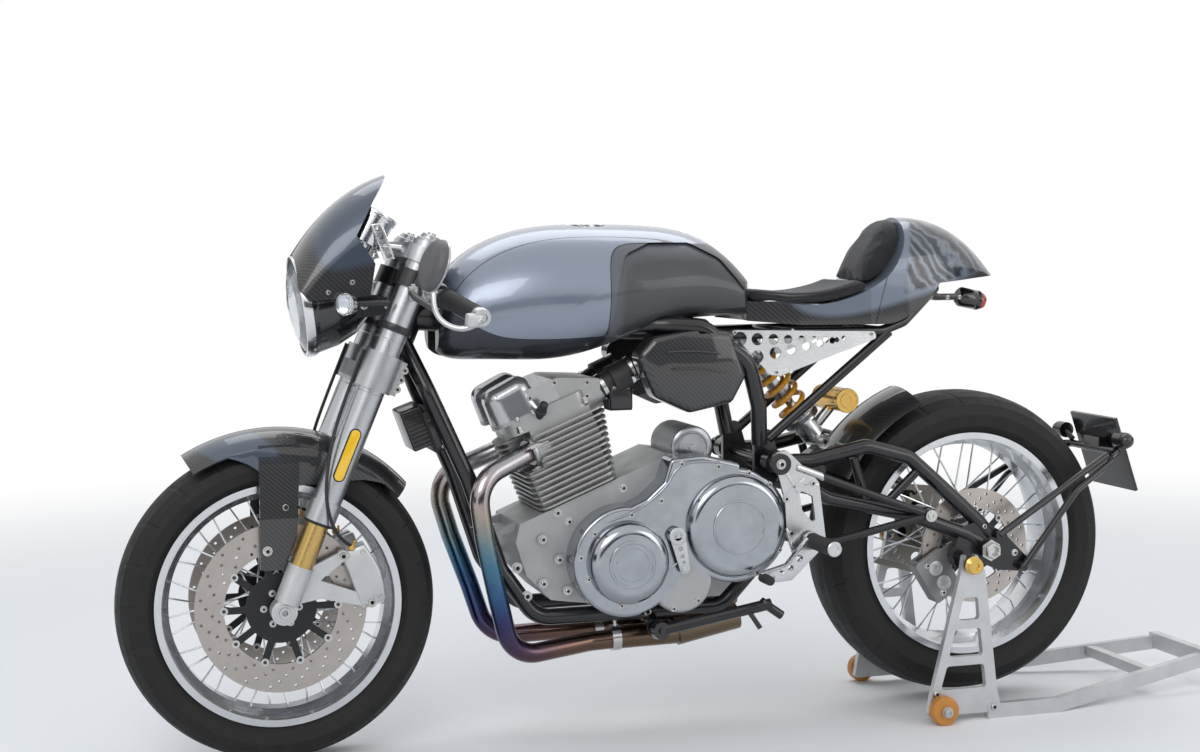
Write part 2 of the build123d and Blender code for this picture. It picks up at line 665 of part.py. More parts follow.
def shock_absorber():
    body = rod(along(shock_top, shock_foot, 0.0), along(shock_top, shock_foot, 0.55), 21)
    body += rod(along(shock_top, shock_foot, 0.5), along(shock_top, shock_foot, 0.92), 9)
    body += rod(along(shock_top, shock_foot, 0.18), along(shock_top, shock_foot, 0.22), 38)
    body += rod(along(shock_top, shock_foot, 0.745), along(shock_top, shock_foot, 0.8), 38)
    body += rod(along(shock_top, shock_foot, 0.8), along(shock_top, shock_foot, 0.95), 24)
    body += across(shock_foot[0], shock_foot[2], 14, -34, 34) + across(shock_top[0], shock_top[2], 14, -18, 18)
    body -= plate([(345, 517), (392, 548), (410, 572), (430, 560), (400, 536), (352, 490)], -17, 17)
    body += rod((438, -60, 648), (438, 50, 648), 24) + rod((401, 0, 598), (438, 0, 640), 11)
    return body


spring_start, spring_finish = 0.222, 0.743


def shock_spring():
    low, high = Vector(*along(shock_top, shock_foot, spring_finish)), Vector(*along(shock_top, shock_foot, spring_start))
    length = (high - low).length
    wire = 5.5
    coil = Helix(pitch=(length - 2 * wire) / 5, height=length - 2 * wire, radius=30)
    profile = Plane(coil @ 0, z_dir=coil % 0) * RegularPolygon(wire, 8)
    spring = sweep(profile, path=coil, is_frenet=True)
    return Plane(low + (high - low).normalized() * wire, z_dir=high - low).location * spring


# Engine

lean_frame = Plane(
    (barrel_base[0], 0, barrel_base[1]),
    x_dir=(cos(radians(cylinder_lean)), 0, sin(radians(cylinder_lean))),
    z_dir=(-sin(radians(cylinder_lean)), 0, cos(radians(cylinder_lean))),
)


def fin(height, front, rear, half_width, thickness=fin_thickness):
    outline = Pos((rear - front) / 2, 0) * RectangleRounded(front + rear, 2 * half_width, 26)
    return extrude(Plane.XY.offset(height) * outline, thickness)


def fin_heights(low, high):
    return [low + number * fin_pitch for number in range(int((high - low - fin_thickness) / fin_pitch) + 1)]


def fin_rear(height):
    # the fins reach further back towards the top
    return 80 + 0.22 * height


def cylinders():
    block = Pos(-2, 0, barrel_height / 2) * Box(150, 2 * cylinder_half_width - 36, barrel_height)
    for height in fin_heights(5, barrel_height):
        block += fin(height, 86, fin_rear(height), cylinder_half_width)
    return lean_frame.location * block


port_height = barrel_height + 36


def rocker_dome(y):
    # rounded cover over one pair of exhaust valves
    outline = Pos(-32, y) * RectangleRounded(108, 84, 34)
    dome = extrude(Plane.XY.offset(barrel_height + head_height) * outline, 72, taper=6)
    top = dome.edges().group_by(Axis.Z)[-1]
    return Rot(0, -5, 0) * fillet(top, 24)


def cylinder_head():
    low, top = barrel_height + clearance, barrel_height + finned_head_height
    cover = barrel_height + head_height
    head = Pos(18, 0, (low + top) / 2) * Box(128, 2 * cylinder_half_width - 30, top - low)
    head += Pos(-20, 0, (low + top) / 2) * Box(130, 76, top - low)
    for height in fin_heights(barrel_height + 5.5, top):
        head += fin(height, 50, fin_rear(height), cylinder_half_width)
        head += fin(height, 102, 20, 44)
    head += extrude(Plane.XY.offset(top) * (Pos(2, 0) * RectangleRounded(172, 184, 26)), head_height - finned_head_height)
    # back, up: side view of the intake rocker cover
    intake = [(-40, cover - 4), (-40, cover + 44), (46, cover + 40), (124, cover + 4), (112, top + 6), (40, top)]
    head += fillet(extrude(Plane.XZ.offset(-84) * make_face(Polyline(*intake, close=True)), 168).edges().filter_by(Axis.Y), 5)
    head += [rocker_dome(y) for y in (-47, 47)]
    for y in (-port_y, port_y):
        head -= rod((-140, y, port_height), (-port_back, y, port_height), port_radius + 5)
        head += rod((-port_back - 2, y, port_height), (-20, y, port_height), port_radius)
    for y in (-intake_y, intake_y):
        head += rod((80, y, barrel_height + 78), (118, y, barrel_height + 89), 25)
    return lean_frame.location * head


def port_point(out, y):
    spot = lean_frame.location * Pos(-port_back - 2 - out, y, port_height)
    return tuple(spot.position)


crankcase_outline = [
    (-246, 480), (-264, 400), (-244, 336), (-196, 286), (-100, 272), (150, 272), (200, 322), (218, 400), (212, 470),
    (150, 545), (20, 562), (-44, 556),
]


def crankcase():
    case = plate(crankcase_outline, -engine_half_width, engine_half_width)
    case += across(105, 566, 44, -64, 62)
    for x, z in ((-212, 320), (-180, 365), (-212, 406), (-164, 303)):
        case += across(x, z, 11, -engine_half_width - 6, -engine_half_width)
    lugs = plate([(-330, 462), (-250, 462), (-250, 420), (-318, 410)], 58, 70)
    lugs += plate([(200, 425), (236, 425), (236, 385), (200, 385)], 68, 80)
    case += both_sides(lugs) - mirrored_tube(cradle_path, tube_radius + clearance, 55)
    return case - (lean_frame.location * Pos(0, 0, 100) * Box(400, 400, 200))


alternator = (-58.0, 361.0)
clutch = (162.0, 420.0)
cover_y = 156.0          # outer face of the primary case from the middle plane


def domed_cover(centre, radius, low, high, crown, pad):
    # round cover on a face at y = -low, bulging to y = -high
    outline = make_face([
        Line((0, -low + 4), (radius, -low + 4)), Line((radius, -low + 4), (radius, -low - 5)),
        ThreePointArc((radius, -low - 5), (radius - 0.29 * (radius - crown), -low - 5 - 0.71 * (high - low - 5)),
                      (crown, -high)),
        Line((crown, -high), (pad, -high)), Line((pad, -high), (pad, -high - 1.6)),
        Line((pad, -high - 1.6), (0, -high - 1.6)), Line((0, -high - 1.6), (0, -low + 4)),
    ])
    return Pos(centre[0], 0, centre[1]) * revolve(outline, Axis.Y, 360)


def side_covers():
    low = engine_half_width + clearance
    outline = Pos(*alternator) * Circle(107) + Pos(*clutch) * Circle(112) + Pos(52, 318) * Circle(63)
    ridge = make_face(Polyline((-100, 448), (-73, 457), (-19, 480), (18, 513), (32, 556), (100, 560), (176, 540), clutch,
                               (52, 300), alternator, close=True))
    outline += fillet(ridge.vertices().sort_by(Axis.Y)[-5:], 9)
    left = extrude(Plane.XZ.offset(low) * outline, cover_y - low)
    left = fillet(left.faces().sort_by(Axis.Y)[0].outer_wire().edges(), 7)
    left += domed_cover(alternator, 80, cover_y, 186, 58, 46)
    left += domed_cover(clutch, 101, cover_y, 178, 80, 53)
    # clutch release arm on its boss
    left += across(39, 408, 15, -cover_y - 14, -cover_y) + across(52, 345, 7, -cover_y - 12, -cover_y - 7)
    left += plate([(27, 404), (51, 404), (59, 344), (46, 341)], -cover_y - 12, -cover_y - 7)
    right = rounded_plate([(-156, 400), (-118, 455), (-40, 500), (60, 505), (90, 430), (60, 330), (-20, 285), (-120, 296),
                           (-160, 350)], low, 140, 22)
    right += across(-50, 390, 66, 140, 158)
    return left + right


def carburettors():
    base = (lean_frame.location * Pos(118, 0, barrel_height + 89)).position
    parts = Part()
    for y in (-intake_y, intake_y):
        low = Vector(base.X, y, base.Z)
        high = low + Vector(72, 0, 40)
        parts += rod(low, high, 24)
        parts += rod(low + Vector(28, 0, 12), low + Vector(60, 0, 26), 33)
        parts += Pos(low.X + 42, y, low.Z - 18) * Box(44, 46, 46)
    return parts - cylinder_head()


def airbox_covers():
    outline = [(-28, 756), (6, 792), (110, 808), (168, 798), (198, 712), (168, 658), (80, 641), (8, 674)]
    side = rounded_plate(outline, 86, 138, 22)
    side = fillet(side.faces().sort_by(Axis.Y)[-1].outer_wire().edges(), 16)
    side -= tube(arch_path, tube_radius + clearance, 60)
    side -= rod((110, 0, 808), (110, 160, 808), tube_radius + clearance)
    side -= tube(seat_rail_path, seat_rail_radius + clearance, 40)
    return both_sides(side)


def exhaust():
    start = port_point(clearance, port_y)
    # the two down pipes, x, y, z; the left one lies a little further back
    left = [start, (-345, 119, 526), (-330, 121, 413), (-304, 118, 290), (-276, 104, 180), (-110, 64, 192), (70, 62, 198)]
    right = [start, (-380, 123, 506), (-346, 122, 390), (-310, 118, 290), (-276, 104, 180), (-110, 64, 192), (70, 62, 198)]
    pipes = mirror(tube(left, pipe_radius, pipe_bend), about=Plane.XZ) + tube(right, pipe_radius, pipe_bend)
    collar = rod(start, port_point(9, port_y + 3), port_radius)
    can = rod((-60, 62, 196), (70, 62, 198), 23) + rod((70, 60, 198), (200, 56, 222), 27)
    pipes += both_sides(collar + can) + rod((40, -62, 199), (40, 62, 199), 20)
    pipes += rod((194, 56, 221), (240, 84, 232), pipe_radius)
    return pipes - cylinder_head()


# Bodywork

tunnel_half, tunnel_top = 36.0, 868.0
tank_end_x, tank_end_radius = 237.0, 176.0
cap_x, cap_radius, cap_seat = -93.0, 30.0, 1003.0
cap_thickness = 5.0
cap_pin_radius = 1.5
cap_hinge_x, cap_hinge_z = cap_x - cap_radius - 5, cap_seat + clearance + cap_thickness / 2


knee_depth = 9.0
# x, half width, underside, widest height, top, shoulder radius, share of the knee recess
tank_sections = [
    (-402, 70, 772, 806, 872, 40, 0), (-345, 116, 753, 830, 949, 62, 0), (-240, 138, 750, 842, 997, 78, 1),
    (-90, 150, 768, 868, 1009, 82, 1), (40, 138, 812, 886, 1004, 66, 1), (150, 118, 826, 884, 974, 52, 0.7),
    (214, 101, 828, 866, 920, 32, 0.3), (237, 88, 830, 852, 886, 18, 0),
]
knee_outline = [(-84, 740), (-72, 880), (-48, 950), (10, 973), (96, 972), (160, 940), (210, 870), (240, 740)]


def fuel_tank():
    tank = loft([arch_section(*row[:6]) for row in tank_sections])
    slim = loft([
        arch_section(x, half - knee_depth * share, low - 20, middle, top - 4 * share, shoulder)
        for x, half, low, middle, top, shoulder, share in tank_sections
    ])
    knee = rounded_plate(knee_outline, 40, 200, 34)
    tank -= both_sides(knee - slim)
    tank -= Pos(-90, 0, tunnel_top - 100) * Box(800, 2 * tunnel_half, 200)
    tank -= Pos(cap_x, 0, cap_seat + 20) * Cylinder(cap_radius + 11, 40)
    tank -= Pos(cap_x, 0, cap_seat) * Cylinder(cap_radius - 6, 80)
    tank += across(cap_hinge_x, cap_hinge_z, cap_pin_radius, -9, 9)
    tank += both_sides(across(cap_hinge_x, cap_hinge_z, 2.6, 6.5, 9) + Pos(cap_hinge_x, 7.75, cap_seat) * Box(5.2, 2.5, 6))
    tank -= both_sides(tube(arch_path, tube_radius + 1, 60))
    tank -= rod((110, -160, 808), (110, 160, 808), tube_radius + 1)
    tank -= fork_bar(0, 0, lower_yoke_high, upper_yoke_low, head_tube_radius + 1)
    rear = Pos(tank_end_x - tank_end_radius + 200, 0, 900) * Box(400, 400, 400)
    return tank - (rear - seat_arc(-clearance / 2))


def seat_arc(offset):
    return Pos(tank_end_x - tank_end_radius, 0, 900) * Cylinder(tank_end_radius + offset, 400)


def fuel_cap():
    lid = Pos(cap_x, 0, cap_hinge_z) * Cylinder(cap_radius, cap_thickness)
    lid += Pos(cap_hinge_x + 4, 0, cap_hinge_z) * Box(10, 12, 3)
    lid += across(cap_hinge_x, cap_hinge_z, 2.5, -6, 6)
    return lid - across(cap_hinge_x, cap_hinge_z, cap_pin_radius + running_gap, -9, 9)


def seat_plan(half):
    # plan of the seat, x and half width
    right = [(150, half - 34), (320, half - 10), (470, half - 2), (600, half - 8)]
    outline = make_face(Polyline(*right, *[(x, -y) for x, y in reversed(right)], close=True))
    return extrude(outline, 1100, dir=(0, 0, 1))


def hump_section(x, half, low, shoulder, top):
    edges = [
        Line((-half, low), (-half, shoulder)), ThreePointArc((-half, shoulder), (0, top), (half, shoulder)),
        Line((half, shoulder), (half, low)), Line((half, low), (-half, low)),
    ]
    return Plane((x, 0, 0), x_dir=(0, 1, 0), z_dir=(1, 0, 0)) * make_face(edges)


def seat_base():
    # x, half width, underside, shoulder height, top
    hump = loft([hump_section(*row) for row in (
        (440, 115, 780, 896, 1004), (560, 112, 780, 905, 1017), (640, 102, 780, 905, 1009), (715, 76, 800, 902, 972),
        (768, 40, 840, 896, 924), (788, 22, 870, 890, 902),
    )])
    beneath = make_face([
        Line((480, 804), (500, 804)), ThreePointArc((500, 804), (572, 830), (626, 884)), Line((626, 884), (722, 892)),
        Line((722, 892), (800, 896)), Line((800, 896), (800, 1100)), Line((800, 1100), (572, 1100)),
        Line((572, 1100), (566, 1017)), ThreePointArc((566, 1017), (548, 958), (506, 898)), Line((506, 898), (480, 804)),
    ])
    pan = make_face([
        Line((150, 822), (322, 806)), Line((322, 806), (500, 804)), ThreePointArc((500, 804), (540, 812), (572, 834)),
        Line((572, 834), (540, 930)), Line((540, 930), (506, 898)),
        ThreePointArc((506, 898), (420, 856), (309, 848)), Line((309, 848), (150, 860)), Line((150, 860), (150, 822)),
    ])
    shell = hump & extrude(Plane.XZ * beneath, 130, both=True)
    shell += extrude(Plane.XZ * pan, 130, both=True) & seat_plan(116)
    shell = shell - seat_arc(clearance) - both_sides(tube(seat_rail_path, seat_rail_radius + clearance, 40))
    shell -= rod((646, -40, 872), (646, 40, 872), seat_rail_radius + clearance)
    return Part() + max(shell.solids(), key=lambda solid: solid.volume)


def seat_pads():
    seat = make_face([
        Line((150, 862), (309, 849)), ThreePointArc((309, 849), (400, 853), (470, 874)), Line((470, 874), (462, 892)),
        ThreePointArc((462, 892), (390, 871), (309, 867)), Line((309, 867), (150, 882)), Line((150, 882), (150, 862)),
    ])
    bump = make_face([
        ThreePointArc((486, 890), (540, 940), (560, 1014)), ThreePointArc((560, 1014), (500, 1002), (462, 926)),
        Line((462, 926), (464, 897)), Line((464, 897), (486, 890)),
    ])
    base = seat_base()
    seat = extrude(Plane.XZ * seat, 125, both=True) & seat_plan(106)
    bump = extrude(Plane.XZ * bump, 70, both=True) & extrude(hump_section(440, 70, 860, 955, 1016), 140)
    return Part() + [seat - seat_arc(clearance) - base, bump - base]


def tail_light():
    lamp = rod((722, 0, 852), (768, 0, 842), 20) + rod((768, 0, 842), (782, 0, 839), 14)
    bracket = plate([(636, 866), (652, 866), (672, 858), (724, 858), (724, 845), (660, 845)], -16, 16)
    bracket -= seat_base()
    return lamp + bracket - rear_subframe()


def side_plates():
    # x, z and radius of the holes in each row
    outline = [(168, 800), (478, 790), (482, 776), (276, 707), (254, 709)]
    panel = rounded_plate(outline, 111, 114, 6)
    top_row = [(190, 14.0), (226, 12.0), (260, 10.6), (291, 9.1), (320, 8.0), (347, 6.9), (372, 6.2), (396, 5.1)]
    low_row = [(226, 13.0), (264, 12.0), (298, 10.5), (330, 9.1), (359, 7.6), (386, 6.5), (411, 5.1)]
    for x, radius in top_row:
        panel -= across(x, 782 - 0.02 * (x - 190) - (14 - radius) * 0.3, radius, 100, 120)
    for x, radius in low_row:
        panel -= across(x, 746 + 0.175 * (x - 226), radius, 100, 120)
    spacers = across(440, 787, 4, 100, 112) + across(302, 796, 3, 100, 112)
    panel += spacers - tube(seat_rail_path, seat_rail_radius + clearance, 40)
    return both_sides(panel) - main_frame()


def rear_hugger():
    outline = make_face([
        ThreePointArc((318, -98), (352, 0), (318, 98)),
        Line((318, 98), (316, 95)),
        ThreePointArc((316, 95), (349, 0), (316, -95)),
        Line((316, -95), (318, -98)),
    ])
    guard = Pos(rear_axle[0], 0, rear_axle[1]) * Rot(0, -152, 0) * revolve(outline, Axis.Y, 40)
    inner = swing_y - swing_radius - clearance
    arms = both_sides(across(467, 557, 6, 86, inner) + across(408, 560, 6, 86, inner))
    return guard + arms - swingarm()


def plate_holder():
    upper = rod((734, swing_y + 24, 370), (1000, swing_y - 6, 520), 7)
    lower = tube([(790, swing_y + 24, 302), (918, swing_y + 12, 452), (1012, swing_y - 8, 506)], 7, 30)
    lugs = across(734, 370, 8, swing_y + 15 + clearance, swing_y + 28)
    lugs += across(790, 302, 9, swing_y + 11 + clearance, swing_y + 28)
    holder = both_sides(upper + lower + lugs)
    holder += tube([(1006, -swing_y + 6, 516), (1046, -90, 520), (1046, 90, 520), (1006, swing_y - 6, 516)], 8, 14)
    board = plate([(1040, 590), (1046, 592), (1098, 436), (1092, 434)], -90, 90)
    holder += board + Pos(1052, 0, 530) * Box(26, 60, 30)
    lamp = across(1040, 548, 17, 104, 134) + rod((1046, 88, 530), (1040, 110, 546), 6)
    return holder + both_sides(lamp)


def footrests():
    low, high = 164, 172
    side = rounded_plate([(234, 560), (264, 566), (332, 500), (348, 372), (280, 352), (264, 400), (260, 470)], low, high, 10)
    side -= rounded_plate([(290, 486), (318, 474), (326, 412), (296, 446)], low - 2, high + 2, 5)
    side += across(pivot_x, pivot_z, 13, swing_y + 16 + clearance, low)
    peg = across(311, 387, 9, high, 196) + across(311, 387, 13, 196, 292)
    brace = rod((330, 168, 372), (572, 168, 421), 8) + rod((285, 168, 531), (572, 168, 421), 8)
    brace += across(572, 421, 13, swing_y + 22 + clearance, 178)
    frame = both_sides(side + peg + brace)
    lever = tube([(311, 190, 372), (262, 194, 330), (206, 196, 322)], 6, 20)
    lever += across(311, 387, 17, 180, 192) + across(204, 322, 8, 192, 236)
    return frame + both_sides(lever)


def side_stand():
    foot = Vector(234, -160, 262)
    leg = rod(stand_pivot, foot, 11)
    leg += stand_pin(17, -10, 10)
    leg += rod(foot + Vector(-20, 0, 6), foot + Vector(22, -2, -24), 9)
    leg += rod((186, -158, 254), (206, -176, 218), 5)
    return leg - stand_pin(stand_pin_radius + running_gap, -40, 40)


def rear_caliper():
    block = Box(66, caliper_width, 96)
    block = fillet(block.edges().filter_by(Axis.Y), 6)
    block -= Pos(-8, 0, 0) * Box(56, disc_thickness + 2 * moving_gap, 110)
    spot = (rear_axle[0] - 90, rear_axle[1] - 56)
    turn = degrees(atan2(spot[1] - rear_axle[1], spot[0] - rear_axle[0]))
    caliper = Pos(spot[0], rear_disc_y, spot[1]) * Rot(0, -turn, 0) * block
    inner = swing_y - swing_radius - clearance
    caliper += plate([(586, 312), (640, 352), (690, 372), (690, 346), (640, 300)], -inner, rear_disc_y - caliper_width / 2 + 4)
    return caliper


def regulator_box():
    box = rounded_plate([(-464, 666), (-424, 676), (-372, 582), (-386, 574), (-446, 574), (-470, 598)], -50, 50, 8)
    return box - main_frame()


# Paddock stand

upright_y = (172.0, 186.0)
roller_x, stand_roller_radius = 590.0, 29.0


def paddock_stand():
    low, high = upright_y
    side = rounded_plate([(636, 312), (640, 338), (670, 338), (688, 304), (716, 60), (728, 14), (562, 14), (570, 56)],
                         low, high, 6)
    for outline in (
        [(640, 252), (672, 252), (676, 206), (628, 206)],
        [(622, 188), (678, 188), (684, 132), (608, 132)],
        [(604, 114), (686, 114), (692, 66), (590, 66)],
    ):
        side -= rounded_plate(outline, low - 1, high + 1, 7)
    side -= across(spool_x, spool_z, spool_radius + clearance, low - 1, high + 1)
    side -= Pos(spool_x, (low + high) / 2, spool_z + 20) * Box(2 * (spool_radius + clearance), 30, 40)
    side += across(roller_x, stand_roller_radius, 6, high, 218) + across(roller_x, stand_roller_radius, 11, 215, 218)
    rail_w, rail_h = 16.0, 30.0

    def bar(start, end):
        start, end = Vector(*start), Vector(*end)
        way = end - start
        face = Plane(start, x_dir=Vector(0, 0, 1).cross(way), z_dir=way) * Rectangle(rail_w, rail_h)
        return extrude(face, way.length)

    middle = (low + high) / 2
    side += bar((700, middle, 15), (862, middle, 15))
    side += bar((856, middle, 15), (1262, 92, 62))
    stand = both_sides(side)
    stand += Pos(1262, 0, 66) * Box(22, 200, 34)
    stand += Pos(1110, 0, 47) * Box(22, 230, 22)
    return stand


def paddock_roller(side):
    low, high = upright_y[1] + 2, 213.0
    wheel = lathe([(6 + running_gap, low), (26, low), (stand_roller_radius, low + 4), (stand_roller_radius, high - 4),
                   (26, high), (6 + running_gap, high)], (roller_x, stand_roller_radius))
    return wheel if side > 0 else mirror(wheel, about=Plane.XZ)


def export(name, shape):
    moved = Pos(origin_shift, 0, 0) * shape
    solids = [Solid(s.wrapped) for s in moved.solids()]
    export_step(solids[0] if len(solids) == 1 else Compound(children=solids), f"parts/{name}.step")


nodes = {
    "front_tyre": tyre(front_tyre_radius, front_tyre_width, front_rim_width, front_axle),
    "front_wire_wheel": wire_wheel(front_rim_width, front_hub_radius, front_hub_width, front_flange_radius, front_axle),
    "front_discs": front_discs(),
    "rear_tyre": tyre(rear_tyre_radius, rear_tyre_width, rear_rim_width, rear_axle),
    "rear_wire_wheel": wire_wheel(rear_rim_width, rear_hub_radius, rear_hub_width, rear_flange_radius, rear_axle),
    "rear_disc": rear_disc(),
    "rear_sprocket": rear_sprocket(),
    "gearbox_sprocket": gearbox_sprocket(),
    "drive_chain": drive_chain(),
    "fork_outers": fork_outers(),
    "fork_inners": fork_inners(),
    "fork_feet": fork_feet(),
    "front_calipers": front_calipers(),
    "yokes": yokes(),
    "handlebars": handlebars(),
    "mirrors": mirrors(),
    "headlight_shell": headlight_shell(),
    "headlight_lens": headlight_lens(),
    "cowl": cowl(),
    "gauges": gauges(),
    "front_indicators": front_indicators(),
    "front_mudguard": front_mudguard(),
    "brake_hoses": brake_hoses(),
    "main_frame": main_frame(),
    "rear_subframe": rear_subframe(),
    "swingarm": swingarm(),
    "shock_absorber": shock_absorber(),
    "shock_spring": shock_spring(),
    "crankcase": crankcase(),
    "cylinders": cylinders(),
    "cylinder_head": cylinder_head(),
    "side_covers": side_covers(),
    "carburettors": carburettors(),
    "airbox_covers": airbox_covers(),
    "exhaust": exhaust(),
    "fuel_tank": fuel_tank(),
    "fuel_cap": fuel_cap(),
    "seat_base": seat_base(),
    "seat_pads": seat_pads(),
    "tail_light": tail_light(),
    "side_plates": side_plates(),
    "rear_hugger": rear_hugger(),
    "plate_holder": plate_holder(),
    "footrests": footrests(),
    "side_stand": side_stand(),
    "rear_caliper": rear_caliper(),
    "regulator_box": regulator_box(),
    "paddock_stand": paddock_stand(),
    "roller_left": paddock_roller(-1),
    "roller_right": paddock_roller(1),
}

for name, shape in nodes.items():
    export(name, shape)
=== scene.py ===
import bpy
import bmesh
from contextlib import contextmanager
from math import atan2, cos, pi, radians, sin
from mathutils import Matrix, Vector, bvhtree


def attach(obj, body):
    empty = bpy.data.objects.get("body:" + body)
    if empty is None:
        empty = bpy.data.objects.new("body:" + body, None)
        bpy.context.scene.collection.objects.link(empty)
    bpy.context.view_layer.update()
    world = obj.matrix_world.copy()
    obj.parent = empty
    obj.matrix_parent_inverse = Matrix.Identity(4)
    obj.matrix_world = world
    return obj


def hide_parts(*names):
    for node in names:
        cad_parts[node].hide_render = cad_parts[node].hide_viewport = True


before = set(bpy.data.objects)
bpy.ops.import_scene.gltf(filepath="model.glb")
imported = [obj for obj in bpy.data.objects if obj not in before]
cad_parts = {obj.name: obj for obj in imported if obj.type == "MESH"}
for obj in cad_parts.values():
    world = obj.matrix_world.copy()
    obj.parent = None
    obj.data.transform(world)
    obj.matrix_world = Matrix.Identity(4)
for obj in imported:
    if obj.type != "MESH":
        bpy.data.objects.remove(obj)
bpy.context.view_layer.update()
bpy.ops.object.select_all(action="DESELECT")
print("frame loaded")

# The bike's own drawing has x = 0 at the middle of the wheelbase, in millimetres.
wheelbaseShift = -131.5
left, right, up = (0, -1, 0), (0, 1, 0), (0, 0, 1)


def at(x, y, z):
    return Vector(((x + wheelbaseShift) / 1000, y / 1000, z / 1000))


frontAxle, rearAxle = at(-710, 0, 300), at(710, 0, 341.8)


# Shader nodes

def give(tree, socket, value):
    # links a socket, or sets its value
    if isinstance(value, bpy.types.NodeSocket):
        tree.links.new(value, socket)
    elif value is not None:
        socket.default_value = (*value, 1) if socket.type == "RGBA" and len(value) == 3 else value


def addNode(tree, kind, *inputs, **settings):
    # settings are properties or named inputs; the other inputs come in their order
    node = tree.nodes.new("ShaderNode" + kind)
    for key, value in settings.items():
        if key in node.bl_rna.properties:
            setattr(node, key, value)
        else:
            give(tree, node.inputs[key.replace("_", " ")], value)
    for socket, value in zip(node.inputs, inputs):
        give(tree, socket, value)
    return node


def maths(tree, operation, *values):
    return addNode(tree, "Math", *values, operation=operation).outputs[0]


def colourRamp(tree, value, stops):
    ramp = addNode(tree, "ValToRGB", value)
    elements = ramp.color_ramp.elements
    while len(elements) < len(stops):
        elements.new(0.5)
    for element, (position, colour) in zip(elements, stops):
        element.position, element.color = position, (*colour, 1)
    return ramp.outputs["Color"]


def newGroup(name, **defaults):
    # a shader node group that reads a place and named values
    tree = bpy.data.node_groups.new(name, "ShaderNodeTree")
    for label, value in {"Place": (0.0, 0.0, 0.0), **defaults}.items():
        kind = "NodeSocketVector" if isinstance(value, tuple) else "NodeSocketFloat"
        tree.interface.new_socket(name=label, in_out="INPUT", socket_type=kind).default_value = value
    return tree, tree.nodes.new("NodeGroupInput").outputs


def closeGroup(tree, **values):
    for label in values:
        tree.interface.new_socket(name=label, in_out="OUTPUT", socket_type="NodeSocketFloat")
    out = tree.nodes.new("NodeGroupOutput")
    for label, value in values.items():
        tree.links.new(value, out.inputs[label])
    return tree


def makeGrainGroup():
    # fine drawn lines along one direction, for brushed and turned metal
    tree, given = newGroup("drawnGrain", Stretch=(900.0, 900.0, 20.0))
    scaled = addNode(tree, "VectorMath", given["Place"], given["Stretch"], operation="MULTIPLY").outputs[0]
    lines = addNode(tree, "TexNoise", scaled, Scale=1.0, Detail=3.0, Roughness=0.6).outputs["Fac"]
    return closeGroup(tree, Lines=lines, Height=lines)


def makeWeaveGroup():
    # two-by-two twill of carbon cloth on the x-z and y-z faces
    tree, given = newGroup("carbonTwill", Cell=0.003)
    split = addNode(tree, "SeparateXYZ", given["Place"]).outputs
    u = maths(tree, "DIVIDE", maths(tree, "ADD", split["X"], split["Y"]), given["Cell"])
    v = maths(tree, "DIVIDE", split["Z"], given["Cell"])
    step = maths(tree, "ADD", maths(tree, "FLOOR", u), maths(tree, "FLOOR", v))
    over = maths(tree, "LESS_THAN", maths(tree, "FLOORED_MODULO", step, 4.0), 2.0)
    height = addNode(tree, "Mix", over, None, *(maths(tree, "PINGPONG", way, 0.5) for way in (u, v)))
    return closeGroup(tree, Warp=over, Height=height.outputs[0])


def makePolarGroup():
    # radius, turn and width place about a wheel axle
    tree, given = newGroup("aboutAxle", Axle=(0.0, 0.0, 0.0))
    away = addNode(tree, "VectorMath", given["Place"], given["Axle"], operation="SUBTRACT").outputs[0]
    split = addNode(tree, "SeparateXYZ", away).outputs
    flat = maths(tree, "ADD", *(maths(tree, "MULTIPLY", split[axis], split[axis]) for axis in "XZ"))
    turn = maths(tree, "MULTIPLY_ADD", maths(tree, "ARCTAN2", split["Z"], split["X"]), 0.5 / pi, 0.5)
    return closeGroup(tree, Radius=maths(tree, "SQRT", flat), Turn=turn, Across=split["Y"])


def makeWearGroup():
    # soft blotches and fine specks for handling marks, road film and casting skin
    tree, given = newGroup("handlingWear", Patch=14.0, Speck=420.0)
    big = addNode(tree, "TexNoise", given["Place"], Scale=given["Patch"], Detail=4.0, Roughness=0.55).outputs["Fac"]
    fine = addNode(tree, "TexNoise", given["Place"], Scale=given["Speck"], Detail=2.0, Roughness=0.5).outputs["Fac"]
    specks = addNode(tree, "MapRange", fine, interpolation_type="SMOOTHSTEP", From_Min=0.58, From_Max=0.7)
    return closeGroup(tree, Patches=big, Specks=specks.outputs["Result"], Skin=fine)


def makeEdgeGroup():
    # how far inside a straight edge of a zone a point lies
    tree, given = newGroup("zoneEdge", Start=(0.0, 0.0, 0.0), Inward=(0.0, 0.0, 1.0))
    away = addNode(tree, "VectorMath", given["Place"], given["Start"], operation="SUBTRACT").outputs[0]
    reach = addNode(tree, "VectorMath", away, given["Inward"], operation="DOT_PRODUCT")
    return closeGroup(tree, Depth=reach.outputs["Value"])


